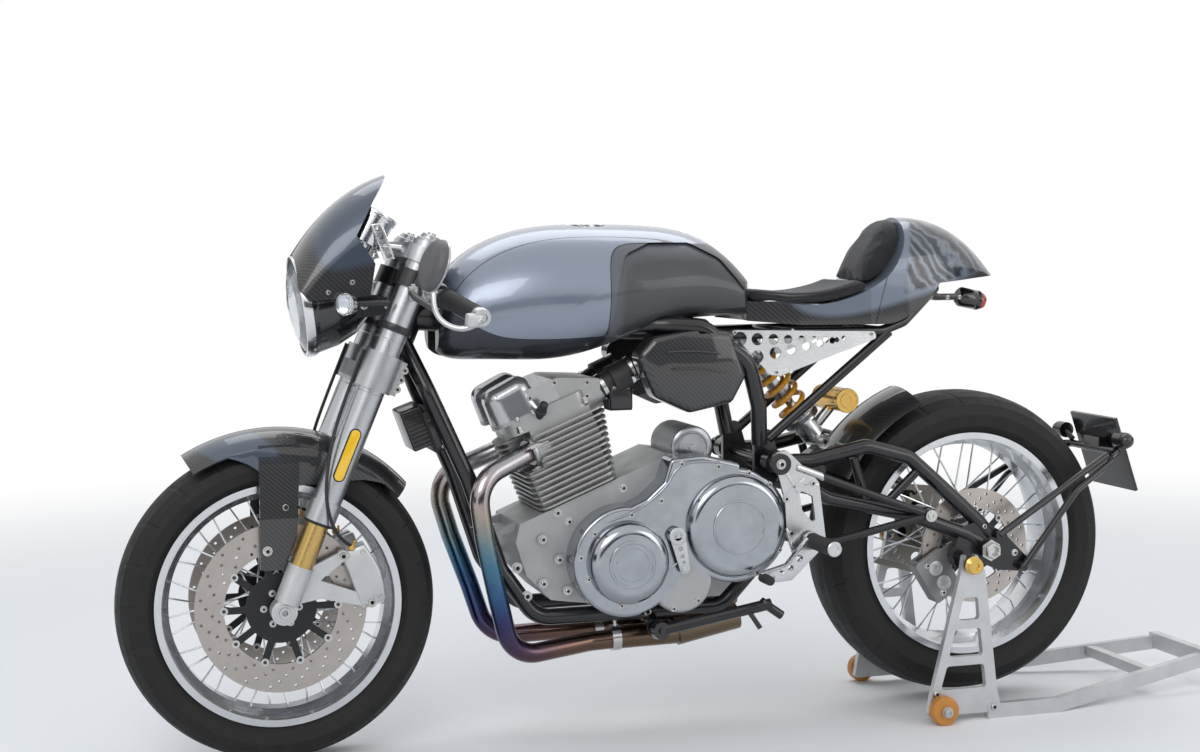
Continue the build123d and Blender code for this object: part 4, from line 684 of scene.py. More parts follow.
buildCamera()
buildLamps()
buildSky()
buildFloor()
buildCards()
print("camera, lamps and floor are in place")


# Ways of working

def takeUp(*pieces):
    bpy.ops.object.select_all(action="DESELECT")
    for piece in pieces:
        piece.select_set(True)
    bpy.context.view_layer.objects.active = pieces[-1]


@contextmanager
def editing(action="SELECT"):
    bpy.ops.object.mode_set(mode="EDIT")
    bpy.ops.mesh.select_all(action=action)
    yield
    bpy.ops.object.mode_set(mode="OBJECT")


def closeUp():
    bpy.ops.mesh.select_all(action="SELECT")
    bpy.ops.mesh.normals_make_consistent(inside=False)


def copyOf(piece):
    twin = piece.copy()
    twin.data = piece.data.copy()
    bpy.context.scene.collection.objects.link(twin)
    return twin


def startDisc(name, sides, radius):
    bpy.ops.object.select_all(action="DESELECT")
    bpy.ops.mesh.primitive_circle_add(vertices=sides, radius=radius, fill_type="NGON")
    return newest(name)


def raiseRegion(way):
    bpy.ops.mesh.extrude_region_move(TRANSFORM_OT_translate={"value": way})


def turned(name, profile, sides=32):
    # a disc drawn out along its axis, one ring for each (height, radius) in millimetres
    (foot, radius), *rings = profile
    piece, last, size = startDisc(name, sides, radius / 1000), foot, radius
    with editing():
        for height, radius in rings:
            raiseRegion((0, 0, (height - last) / 1000))
            share = radius / size
            bpy.ops.transform.resize(value=(share, share, 1), center_override=(0, 0, (height - foot) / 1000))
            last, size = height, radius
        bpy.ops.mesh.select_all(action="SELECT")
        bpy.ops.transform.translate(value=(0, 0, foot / 1000))
        closeUp()
    return piece


def work(piece, kind, **settings):
    # adds one modifier and applies it
    takeUp(piece)
    modifier = piece.modifiers.new("work", kind)
    for key, value in settings.items():
        setattr(modifier, key, value)
    bpy.ops.object.modifier_apply(modifier=modifier.name)
    return piece


def block(name, size, corner, steps=3):
    # a box in millimetres with all its edges rounded
    bpy.ops.object.select_all(action="DESELECT")
    bpy.ops.mesh.primitive_cube_add(size=0.001)
    piece = newest(name)
    piece.scale = size
    bpy.ops.object.transform_apply(scale=True)
    with editing():
        bpy.ops.mesh.bevel(offset=corner / 1000, segments=steps, affect="EDGES")
    return piece


def cutPlate(name, outline, low, high, corner=0.0):
    # sheet cut to an (x, z) outline between two y planes, its rims rounded
    piece = startDisc(name, len(outline), 1)
    for vertex, (x, z) in zip(piece.data.vertices, outline):
        vertex.co = at(x, low, z)
    with editing():
        raiseRegion((0, (high - low) / 1000, 0))
        closeUp()
    if corner:
        work(piece, "BEVEL", width=corner / 1000, segments=2, limit_method="ANGLE", angle_limit=radians(30))
    return piece


def drilled(piece, holes, y):
    # round holes cut across a plate, each (x, z, radius) in millimetres
    for x, z, radius in holes:
        bpy.ops.object.select_all(action="DESELECT")
        bpy.ops.mesh.primitive_cylinder_add(vertices=20, radius=radius / 1000, depth=0.04,
                                            location=at(x, y, z), rotation=(pi / 2, 0, 0))
        hole = newest("hole")
        bpy.ops.object.transform_apply(location=True, rotation=True)
        work(piece, "BOOLEAN", operation="DIFFERENCE", object=hole, solver="EXACT")
        bpy.data.objects.remove(hole)
    return piece


def pipe(name, points, radius, rings=6):
    # a curve through control points in millimetres, with a round section
    curve = bpy.data.curves.new(name, "CURVE")
    curve.dimensions = "3D"
    curve.bevel_depth = radius / 1000
    curve.bevel_resolution = rings
    curve.use_fill_caps = True
    line = curve.splines.new("NURBS")
    line.points.add(len(points) - 1)
    for point, place in zip(line.points, points):
        point.co = (*at(*place), 1)
    line.order_u = 3
    line.use_endpoint_u = True
    line.resolution_u = 12
    return placeObject(name, curve)


def pipeMesh(name, points, radius, rings=4):
    takeUp(pipe(name, points, radius, rings))
    bpy.ops.object.convert(target="MESH")
    return newest(name)


def socketScrew(name, radius, height, sides=14):
    # cap screw on its washer face, with a socket in the head whose inside is painted shade
    washer, body = 1.45 * radius, 0.86 * radius
    screw = turned(name, [(-0.8 * height, 0.9 * radius), (0, washer), (0.16 * height, washer), (0.16 * height, radius),
                          (0.86 * height, radius), (height, body), (height, 0.58 * radius),
                          (0.4 * height, 0.54 * radius)], sides)
    for finish in ("screwSteel", "socketDark"):
        screw.data.materials.append(finishes[finish].material)
    # the socket's inner faces take a near-black finish as painted shade
    for face in screw.data.polygons:
        if face.center.z > 0.3 * height / 1000 and face.center.to_2d().length < 0.6 * radius / 1000:
            face.material_index = 1
    return screw


def aimed(spot, direction=up, turn=0.0):
    # the place of a piece made along Z that points along a direction
    aim = Vector(direction).to_track_quat("Z", "Y").to_matrix().to_4x4()
    return Matrix.Translation(spot) @ aim @ Matrix.Rotation(turn, 4, "Z")


def spread(master, name, places):
    # one joined piece out of a copy of the master at each (spot, direction) or (spot, direction, turn)
    copies = []
    for place in places:
        copies.append(copyOf(master))
        copies[-1].data.transform(aimed(*place))
    bpy.data.objects.remove(master)
    takeUp(*copies)
    if len(copies) > 1:
        bpy.ops.object.join()
    return newest(name)


def bothSides(piece, name):
    # joins a piece with its mirrored copy on the other side of the bike
    twin = copyOf(piece)
    twin.data.transform(Matrix.Scale(-1, 4, (0, 1, 0)))
    takeUp(twin)
    with editing():
        closeUp()
    takeUp(piece, twin)
    bpy.ops.object.join()
    return newest(name)


def fit(piece, body, slot, finish, angle=35):
    # finish, smooth shading and body of a new piece
    slots = piece.data.materials
    if len(slots):
        slots[0] = finishes[finish].material
    else:
        slots.append(finishes[finish].material)
    if piece.type == "MESH":
        takeUp(piece)
        bpy.ops.object.shade_smooth_by_angle(angle=radians(angle))
    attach(piece, body)
    return piece


def makePieces(body, slot, table, **shared):
    # each row has a profile, screw, block, tube, plate or form, and what differs from the rest of its table
    for name, own in table.items():
        row = {**shared, **own}
        if "profile" in row:
            form = turned(name + "Form", row["profile"], row.get("sides", 32))
        elif "screw" in row:
            form = socketScrew(name + "Form", *row["screw"])
        elif "block" in row:
            form = block(name + "Form", *row["block"])
        elif "tube" in row:
            form = pipeMesh(name + "Form", *row["tube"])
        elif "plate" in row:
            form = drilled(cutPlate(name + "Form", *row["plate"]), row.get("holes", ()), row.get("middle", 0))
        else:
            form = row["form"]
        if "places" in row:
            form = spread(form, name, row["places"])
        if row.get("mirror"):
            form = bothSides(form, name)
        form.name = form.data.name = name
        fit(form, row.get("body", body), row.get("slot", slot), row.get("finish", "screwSteel"), row.get("angle", 35))
        if "replaces" in row:
            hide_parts(row["replaces"])


def pair(x, y, z):
    # a spot on both sides of the bike, facing outwards
    return [(at(x, side * y, z), (0, side, 0)) for side in (-1, 1)]


def onLeft(y, *spots):
    return [(at(x, -y, z), left) for x, z in spots]


def ringOf(count, radius, x, y, z, way, shift=0.0):
    turns = [2 * pi * n / count + shift for n in range(count)]
    return [(at(x + radius * cos(turn), y, z + radius * sin(turn)), way) for turn in turns]


forkLean, forkOffset, legSpread = radians(22.8), 32, 103
axleX, axleZ = -710, 300
forkWay = Vector((sin(forkLean), 0, cos(forkLean)))


def onFork(back, y, up):
    # a place given behind the steering axis and up along the fork from the axle
    behind = forkOffset + back
    return axleX + behind * forkWay.z + up * forkWay.x, y, axleZ - behind * forkWay.x + up * forkWay.z


def onLegs(height):
    return [(at(*onFork(-forkOffset, y, height)), forkWay) for y in (-legSpread, legSpread)]




# Seat and bump pads, filled by simulation

padWork = {"voxel": 0.0045, "shrink": 0.0022, "pressure": 4.0, "cap": 0.0065, "frames": 20, "held": 0.0035}
rake = {"lean": 0.046, "reach": 0.095, "drop": 0.004, "full": 0.72}


def looseParts(node):
    # separate merged copies of the solids of a CAD node, front one first
    takeUp(copyOf(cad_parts[node]))
    with editing():
        bpy.ops.mesh.remove_doubles(threshold=0.00005)
        bpy.ops.mesh.separate(type="LOOSE")
    return sorted(bpy.context.selected_objects, key=lambda part: min(v.co.x for v in part.data.vertices))


def surfaceOf(node):
    form = bmesh.new()
    form.from_mesh(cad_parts[node].data)
    tree = bvhtree.BVHTree.FromBMesh(form)
    form.free()
    return tree


def puff(pad, under):
    # even mesh, a little smaller than the solid, then filled; what rests on the base stays there
    work(pad, "REMESH", mode="VOXEL", voxel_size=padWork["voxel"])
    work(pad, "DISPLACE", strength=-padWork["shrink"], mid_level=0.0)
    work(pad, "SMOOTH", factor=0.5, iterations=4)
    held = pad.vertex_groups.new(name="held")
    base = surfaceOf(under)
    for vertex in pad.data.vertices:
        spot, normal, index, away = base.find_nearest(vertex.co)
        if away is not None and away < padWork["held"]:
            held.add([vertex.index], 1.0, "REPLACE")
    before = [vertex.co.copy() for vertex in pad.data.vertices]
    cloth = pad.modifiers.new("fill", "CLOTH")
    cloth.settings.use_pressure = True
    cloth.settings.uniform_pressure_force = padWork["pressure"]
    cloth.settings.effector_weights.gravity = 0
    cloth.settings.vertex_group_mass = "held"
    takeUp(pad)
    for step in range(1, padWork["frames"] + 1):
        bpy.context.scene.frame_set(step)
    bpy.ops.object.modifier_apply(modifier=cloth.name)
    bpy.context.scene.frame_set(1)
    for vertex, start in zip(pad.data.vertices, before):
        move = vertex.co - start
        if move.length > padWork["cap"]:
            vertex.co = start + move.normalized() * padWork["cap"]
    pad.vertex_groups.clear()
    work(pad, "SMOOTH", factor=0.4, iterations=2)
    work(pad, "SUBSURF", levels=1, render_levels=1)


def rakeBack(piece, front, low, high):
    # the front of the bump pad leans back to the hump and its foot comes down on the seat
    for vertex in piece.data.vertices:
        rise = (vertex.co.z - low) / (high - low)
        share = min(1.0, max(0.0, rise / rake["full"]))
        near = max(0.0, 1.0 - (vertex.co.x - front) / rake["reach"])
        vertex.co.x += rake["lean"] * near * share
        vertex.co.z -= rake["drop"] * near * (1.0 - rise)


seatCushion, bumpCushion = looseParts("seat_pads")
heights = [vertex.co.z for vertex in bumpCushion.data.vertices]
bumpSpan = (min(vertex.co.x for vertex in bumpCushion.data.vertices), min(heights), max(heights))
rakeBack(bumpCushion, *bumpSpan)
for cushion, name, fill in ((seatCushion, "seatCushion", 0.5), (bumpCushion, "bumpCushion", 0.6)):
    puff(cushion, "seat_base")
    cushion.name = cushion.data.name = name
    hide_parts("seat_pads")
    fit(cushion, "bike", "suede", "blackSuede", 60)
print("pads are filled")

# a welt sewn round each pad, on the edge of its top panel
seatEdge = [(160, 84, 880), (230, 88, 874), (309, 93, 866), (390, 97, 869), (452, 97, 886)]
bumpEdge = [(466, 54, 922), (476, 56, 950), (500, 50, 986), (530, 34, 1004), (545, 0, 1012)]
weltRadius = 1.3
for name, edge in (("seatWelts", seatEdge), ("bumpWelts", bumpEdge)):
    welt = bothSides(pipeMesh("welt", edge, weltRadius, 3), name)
    if edge is bumpEdge:
        rakeBack(welt, *bumpSpan)
    fit(welt, "bike", "suede", "blackSuede", 60)

# Fuel cap ring, seat and tail trim
cap = {"x": -93, "seat": 1003, "top": 1007.9, "ring": 24, "screws": 6}
tailSpot = [(at(722, 0, 852), Vector((60, 0, -13)).normalized())]
capTurns = [2 * pi * n / cap["screws"] for n in range(cap["screws"])]
makePieces("bike", "black_metal", {
    "capRing": {"profile": [(-3, 33), (0.2, 33), (1.2, 34), (1.6, 36), (1.2, 38), (-3, 39)], "sides": 48,
                "places": [(at(cap["x"], 0, cap["seat"]), up)], "slot": "brushed_alloy", "finish": "shockAlloy"},
    "capScrews": {"screw": (2.1, 1.6, 12), "body": "fuel_lid", "slot": "brushed_alloy", "places": [
        (at(cap["x"] + cap["ring"] * cos(turn), cap["ring"] * sin(turn), cap["top"]), up) for turn in capTurns]},
    "sidePlateScrews": {"screw": (3.2, 3.2), "places": onLeft(114, (178, 795), (470, 785), (266, 714)), "mirror": True,
                        "slot": "plate_polished"},
    "tailBody": {"profile": [(-4, 15), (0, 19), (3, 20.6), (36, 20.6), (38, 19.4), (40, 20.6), (45, 20.6), (46, 18.6)],
                 "sides": 36, "places": tailSpot, "slot": "red_lens", "finish": "lampBlack", "replaces": "tail_light"},
    "tailLens": {"profile": [(44, 18), (46, 18.4), (52, 17.6), (58, 14.4), (60.6, 10), (61.4, 4)], "sides": 36,
                 "places": tailSpot, "slot": "red_lens", "finish": "tailRed", "replaces": "tail_light"},
    "tailPlate": {"plate": ([(636, 866), (652, 866), (672, 858), (726, 858), (726, 845), (660, 845)], -15.7, 15.7, 2.5),
                  "finish": "frameBlack", "replaces": "tail_light"},
    "tailScrews": {"screw": (3, 3), "places": onLeft(15.7, (652, 856), (688, 851), (716, 851)), "mirror": True}})
print("bodywork trim is fitted")


# Engine details

clutch = {"x": 162, "z": 420, "flange": 106, "face": 154.5}


def clutchSpot(x, z):
    # a screw on the narrow flange round the clutch dome
    way = Vector((x - clutch["x"], 0, z - clutch["z"])).normalized() * clutch["flange"]
    return at(clutch["x"] + way.x, -clutch["face"], clutch["z"] + way.z), left


coverEdge = [(52, 546), (127, 538), (10, 477), (-50, 453), (-124, 420), (-152, 375), (-137, 333), (-72, 278), (34, 265),
             (84, 278)]
clutchRing = [(241, 505), (269, 436), (272, 402), (257, 366), (206, 326), (190, 520)]
rightEdge = [(-146, 390), (-112, 444), (-40, 488), (50, 493), (76, 430), (50, 340), (-20, 297), (-112, 306),
             (-148, 350)]
makePieces("bike", "case_grey", {
    "coverScrews": {"screw": (4.2, 4.6), "places": onLeft(156, *coverEdge) + [clutchSpot(x, z) for x, z in clutchRing]},
    "crankScrews": {"screw": (5.6, 5.5), "places": onLeft(98, (-181, 455), (-158, 437), (-48, 497), (-112, 285))
                    + onLeft(104, (-212, 320), (-180, 365), (-212, 406), (-164, 303))},
    "rightScrews": {"screw": (4.2, 4.6), "places": [(at(x, 140, z), right) for x, z in rightEdge]},
    # stepped rings in the middle of the domes, as turned in one setting
    "alternatorPad": {"profile": [(-1.5, 46), (0, 46), (0.9, 45), (0.9, 41), (-0.2, 40), (-0.2, 33), (0.7, 32.2),
                                  (0.7, 3)],
                      "sides": 72, "places": onLeft(187.6, (-58, 361)), "finish": "polishedCover", "angle": 25},
    "clutchPad": {"profile": [(-1.5, 53), (0, 53), (0.8, 52), (0.8, 49.5), (-0.1, 48.7), (-0.1, 3)], "sides": 72,
                  "places": onLeft(179.6, (162, 420)), "finish": "polishedCover", "angle": 25},
    "timingPad": {"profile": [(-1.5, 60), (0, 60), (3.2, 56), (3.2, 47), (1.6, 45), (1.6, 22), (4.2, 20), (4.2, 3)],
                  "sides": 72, "places": [(at(-50, 158, 390), right)], "finish": "polishedCover", "angle": 25},
    # raised ribs round the primary cover
    "coverRib": {"tube": ([(-100, -154.5, 440), (-60, -156.5, 452), (-14, -156.5, 474), (24, -156.5, 506),
                           (42, -156.5, 540), (80, -156.5, 552), (130, -156.5, 546)], 2.6, 3),
                 "finish": "polishedCover", "angle": 60},
    "lowRib": {"tube": ([(-12, -155.6, 300), (10, -156, 330), (40, -156, 352), (62, -156, 366)], 2.0, 3),
               "finish": "polishedCover", "angle": 60},
    # release arm with its clamp screw and lightening holes
    "armHub": {"profile": [(-1, 16.6), (0, 17), (1.6, 17), (2.6, 15.6), (2.6, 8.6), (0.6, 8), (0.6, 3.6), (5, 3.4),
                           (5, 1)],
               "places": onLeft(170, (39, 408)), "finish": "castSilver"},
    "armTip": {"profile": [(-6, 4), (0, 7.5), (2, 7.5), (2, 5), (6, 5), (6.6, 4.2), (6.6, 1)], "sides": 20,
               "places": onLeft(168, (52, 345)), "finish": "castSilver"},
    "armFork": {"plate": ([(24, 402), (54, 408), (64, 343), (59, 335), (48, 334), (43, 343)], -170.6, -167.6, 0.8),
                "holes": [(44, 384, 5), (48, 369, 4.2), (51, 357, 3.2)], "middle": -169, "finish": "castSilver"}})

barrelLean, barrelFoot = radians(22), (-131.4, 0, 486.7)
cylinderUp = Vector((-sin(barrelLean), 0, cos(barrelLean)))
portWay = Vector((-cos(barrelLean), 0, -sin(barrelLean)))


def onBarrel(out, y, height):
    # a place on the leaning cylinders: ahead of their axis, across, and up from their foot
    return at(*barrelFoot) + Vector((0, y / 1000, 0)) + portWay * (out / 1000) + cylinderUp * (height / 1000)


makePieces("bike", "fin_grey", {
    "portNuts": {"profile": [(-6, 3.4), (0, 3.4), (0, 8), (1.6, 8), (1.6, 6.2), (8, 6.2), (8.6, 5.2), (8.6, 3), (14, 3),
                             (14.6, 2)],
                 "sides": 6, "slot": "header_metal", "finish": "screwSteel",
                 "places": [(onBarrel(52, y + sideways, 116 + lift), portWay)
                            for y in (-75, 75) for sideways, lift in ((-30, 14), (30, 14), (0, -35))]},
    "portFlanges": {"profile": [(-3, 31), (0, 33), (5, 33), (6.4, 31.6), (6.4, 24), (2, 22)], "sides": 40,
                    "places": [(onBarrel(50, y, 116), portWay) for y in (-75, 75)], "finish": "headAlloy"},
    "headNuts": {"profile": [(-3, 7), (0, 7.4), (1.4, 7.4), (1.4, 6), (8, 6), (9.4, 4.8), (9.8, 1)], "sides": 6,
                 "places": [(onBarrel(out, y, 164.5), cylinderUp)
                            for out, y in ((62, -92), (62, 92), (-78, -90), (-78, 90), (62, -8), (62, 8))]},
    "rockerScrews": {"screw": (4.4, 5), "places": [
        (onBarrel(out, side * 84, height), (0, side, 0))
        for side in (-1, 1) for out, height in ((20, 214), (-36, 222), (-96, 196), (-86, 172))]},
    "domeScrews": {"screw": (4.4, 5), "places": [
        (onBarrel(out, y, 188), cylinderUp)
        for out, y in ((93, -47), (93, 47), (60, -94), (60, 94), (26, -94), (26, 94))]},
    "plugCaps": {"profile": [(-10, 6), (0, 8), (10, 8), (11, 10.6), (16, 10.6), (18, 8.6), (36, 8), (38, 6), (40, 3)],
                 "sides": 24, "places": [(onBarrel(16, side * 90, 176), (0.1, side, 0.9)) for side in (-1, 1)],
                 "slot": "black_plastic", "finish": "throttleBlack"}})

# Throttle bodies, then the starter cap, exhaust clamps and engine bolts
throttleWay = Vector((72, 0, 40)).normalized()
intake = onBarrel(-118, 0, 169)


def onIntake(x, y, z):
    return intake + Vector((x, y, z)) / 1000


makePieces("bike", "black_metal", {
    "intakeBands": {"profile": [(-4, 25), (-4, 26.6), (4, 26.6), (4, 25)], "sides": 40, "finish": "screwSteel",
                    "places": [(onIntake(0, y, 0) + throttleWay * reach, throttleWay)
                               for y in (-53, 53) for reach in (0.010, 0.0775)]},
    "bodyScrews": {"screw": (3.2, 3.4), "places": [
        (onIntake(x, side * 76, z), (0, side, 0))
        for side in (-1, 1) for x, z in ((28, 2), (56, 0), (28, -34), (56, -34))]},
    "throttleBlocks": {"block": ((46, 14, 44), 5), "places": [(onIntake(42, y, -18), up) for y in (-73, 73)],
                       "finish": "throttleGlossBlack"},
    "fuelRail": {"tube": ([(-20, -80, 706), (-18, -40, 712), (-18, 40, 712), (-20, 80, 706)], 6.5),
                 "finish": "shockAlloy", "angle": 60},
    "starterCap": {"profile": [(-2, 44), (0, 44), (4, 42.6), (7.4, 37), (7.4, 30), (6, 28.6), (6, 8), (9, 7), (9, 2)],
                   "sides": 48, "places": onLeft(64, (105, 566)), "slot": "case_grey", "finish": "coverAlloy"},
    "clampRings": {"profile": [(-9, 23.4), (-9, 25.6), (9, 25.6), (9, 23.4)], "sides": 40, "slot": "header_metal",
                   "places": [(at(-58, y, 196.2), Vector((130, -2, 6)).normalized()) for y in (-62.2, 62.2)]},
    "clampScrews": {"screw": (3.6, 12), "places": [(at(-58, y, 222), up) for y in (-66, 66)], "slot": "header_metal"},
    "frameBolts": {"screw": (7.5, 7), "places": onLeft(94, (-262, 352), (-243, 296), (0, 250)), "mirror": True}})
print("engine details are fitted")

# Headlamp: bright rim, bowl reflector and bulb behind the ribbed glass
lampPlace = [(at(-655, 0, 859), Vector((cos(radians(8.3)), 0, sin(radians(8.3)))))]
indicatorSpots = [(at(-590, side * 147, 867), (-0.74, side * 0.67, 0)) for side in (-1, 1)]
makePieces("steering", "chrome_trim", {
    "lampRim": {"profile": [(3, 90), (-3, 90.4), (-4.6, 92), (-4.2, 95), (0, 96.8), (9, 97), (12, 96.8), (12, 95.4),
                            (9, 95.2)],
                "sides": 64, "places": lampPlace, "finish": "gaugeChrome"},
    "lampBowl": {"profile": [(9, 86), (8, 87.6), (7, 86), (30, 70), (46, 50), (54, 30), (57, 12), (44, 9), (40, 6),
                             (39, 2)],
                 "sides": 48, "places": lampPlace, "finish": "mirrorGlass"},
    "lampBulb": {"profile": [(34, 7), (30, 8), (20, 8), (16, 6), (14, 3)], "sides": 20, "places": lampPlace,
                 "slot": "lamp_glass", "finish": "lampGlass"},
    "earScrews": {"screw": (5, 5), "places": [(at(-545, -79, 861), left), (at(-500, -79, 860), left)], "mirror": True},
    "cowlScrews": {"screw": (3.6, 3), "places": [(at(-570, -105, 906), left), (at(-614, -103.6, 888), left)],
                   "mirror": True, "slot": "carbon"}})

# Indicators and fork reflectors, which take the place of one node
makePieces("steering", "chrome_trim", {
    "indicatorShells": {"profile": [(-26, 7), (-24, 12), (-16, 17.6), (-6, 20), (0, 20.4), (2.4, 20.8), (3.4, 20),
                                    (2.4, 18.2), (-8, 16), (-14, 9), (-15, 2)],
                        "sides": 36, "places": indicatorSpots, "finish": "gaugeChrome"},
    "indicatorLenses": {"profile": [(1.6, 18.4), (3.4, 18.2), (7.6, 16.4), (11, 11.6), (12.6, 5), (12.8, 2)],
                        "sides": 36, "places": indicatorSpots, "slot": "lamp_glass", "finish": "lampGlass"},
    "indicatorStalks": {"tube": ([(-574, -133, 867), (-556, -129, 867), (-530, -128, 867), (-505, -128, 866)], 5.4),
                        "mirror": True, "slot": "black_metal", "finish": "barBlack"},
    "indicatorBands": {"profile": [(-7, 27.5), (-7, 31.5), (-5, 32.4), (5, 32.4), (7, 31.5), (7, 27.5)], "sides": 40,
                       "places": onLegs(563), "slot": "black_metal", "finish": "barBlack"}},
           replaces="front_indicators")

reflector = {"middle": 312, "run": 41, "half": 9.0, "out": 127.5}


def capsule(half, thick):
    # long pad with round ends, standing along the fork and facing outwards
    outline = [(half * sin(radians(start + 15 * n)), run + half * cos(radians(start + 15 * n)))
               for start, run in ((-90, reflector["run"]), (90, -reflector["run"])) for n in range(13)]
    piece = cutPlate("capsule", outline, 0, thick, 1.2)
    piece.data.transform(Matrix.Translation(-at(0, 0, 0)))
    place = at(*onFork(-33, -reflector["out"] - thick, reflector["middle"]))
    piece.data.transform(Matrix.Translation(place) @ Matrix.Rotation(forkLean, 4, "Y"))
    return piece


makePieces("steering", "black_plastic", {
    "reflectorPads": {"form": capsule(reflector["half"] + 2.4, 4.5), "finish": "gripRubber"},
    "reflectorFaces": {"form": capsule(reflector["half"], 6.2), "slot": "lamp_glass", "finish": "amberReflector"}},
           mirror=True, replaces="front_indicators")

# Fork caps, dust seals, tube seams, pinch bolts, axle ends and stay screws
makePieces("steering", "silver_cast", {
    "forkCaps": {"profile": [(-2, 24), (4, 24), (6, 22.4), (6, 17), (14, 17), (15, 15.6), (15, 8), (19, 7.6), (20, 6.4),
                             (20, 2)],
                 "sides": 36, "places": onLegs(734), "finish": "yokeSilver"},
    "dustSeals": {"profile": [(-4, 22), (-6, 24.4), (-5, 27.4), (0, 29.6), (3, 29.8), (3, 28)], "sides": 40,
                  "places": onLegs(178), "slot": "hose_rubber", "finish": "gripRubber"},
    "tubeSeams": {"profile": [(-0.8, 27.1), (0, 27.6), (0.8, 27.1)], "sides": 48,
                  "places": onLegs(222) + onLegs(540) + onLegs(434),
                  "slot": "brushed_alloy", "finish": "shockAlloy"},
    "stemNut": {"profile": [(0, 20), (3, 20), (4, 18.6), (4, 14), (12, 14), (13.4, 12.4), (13.4, 8), (8, 7.6), (8, 2)],
                "sides": 6, "places": [(at(*onFork(0, 0, 733)), forkWay)]},
    "pinchScrews": {"screw": (5, 5), "places": [
        (at(*onFork(12, side * 115, height)), (0, side, 0)) for side in (-1, 1) for height in (458, 477, 496)]},
    "frontAxleEnds": {"profile": [(-4, 20), (0, 20), (1.4, 18.6), (1.4, 15), (3.4, 14.4), (3.4, 10.6), (-6, 10),
                                  (-6, 7), (-8, 2)],
                      "sides": 40, "places": pair(-710, 120, 300), "finish": "castSilver"},
    "stayScrews": {"screw": (6.4, 6), "places": [(at(-699, -83, 490), (0, -1, 0.15)), (at(-735, -88, 411), left)],
                   "mirror": True}})

caliperX, caliperZ = -560, 354
caliperLean = atan2(caliperZ - axleZ, caliperX - axleX)
caliperTurn = Matrix.Rotation(-caliperLean, 4, "Y")


def onCaliper(out, y, along):
    # out from the axle and along the caliper, in millimetres from its middle
    way, side = Vector((cos(caliperLean), 0, sin(caliperLean))), Vector((-sin(caliperLean), 0, cos(caliperLean)))
    return at(caliperX, y, caliperZ) + way * (out / 1000) + side * (along / 1000)


def caliperHalf():
    # forged half with a waisted back, made from one block
    piece = block("caliperHalf", (58, 22, 116), 5)
    with editing():
        bpy.ops.mesh.subdivide(number_cuts=3)
    for vertex in piece.data.vertices:
        share = abs(vertex.co.z) / 0.058
        if vertex.co.y < 0:
            vertex.co.y -= 0.006 * max(0.0, 1 - share * share)
        vertex.co.x *= 1 - 0.16 * share
        vertex.co.x += 0.006 * (1 - share * share)
    piece.data.transform(Matrix.Translation(at(caliperX, -89, caliperZ)) @ caliperTurn)
    return piece


def caliperBlock(size, corner, out, y):
    piece = block("caliperBlock", size, corner)
    piece.data.transform(Matrix.Translation(onCaliper(out, y, 0)) @ caliperTurn)
    return piece


nippleProfile = [(-4, 5), (0, 5), (2, 5), (2, 3.6), (9, 3.6), (9, 2.4), (15, 2.4), (16, 1.4)]
makePieces("steering", "silver_cast", {
    "caliperHalves": {"form": caliperHalf()},
    "caliperBridges": {"form": caliperBlock((22, 34, 66), 5, 22, -72)},
    "innerHalves": {"form": caliperBlock((56, 13, 112), 4, 0, -58)}},
           mirror=True, finish="castSilver", angle=40, replaces="front_calipers")
makePieces("steering", "silver_cast", {
    "caliperScrews": {"screw": (5.4, 6), "places": [
        (onCaliper(out, -97, along), left) for out, along in ((16, 44), (16, -44), (-12, 50), (-12, -50))]},
    "footScrews": {"screw": (7, 8), "places": onLeft(100.5, (-597, 396), (-545, 306))},
    "bleedNipples": {"profile": nippleProfile, "sides": 12, "places": [(onCaliper(2, -92, 58), (0.2, -0.3, 1))],
                     "slot": "brushed_alloy", "finish": "goldAnodised"}},
           mirror=True)

# Brake hoses, as the source routes them, with their banjo fittings
hoseRoute = [onFork(-71.5, -103, 506), onFork(-71.5, -103, 380), onFork(-63.5, -124, 300), onFork(-42, -140, 218),
             onFork(8, -136, 160), (-580, -100, 414)]
for name, side in (("leftHose", 1), ("rightHose", -1)):
    hose = pipe(name, [(x, side * y, z) for x, y, z in hoseRoute], 3.2)
    fit(hose, "steering", "hose_rubber", "hoseBlack")
    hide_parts("brake_hoses")

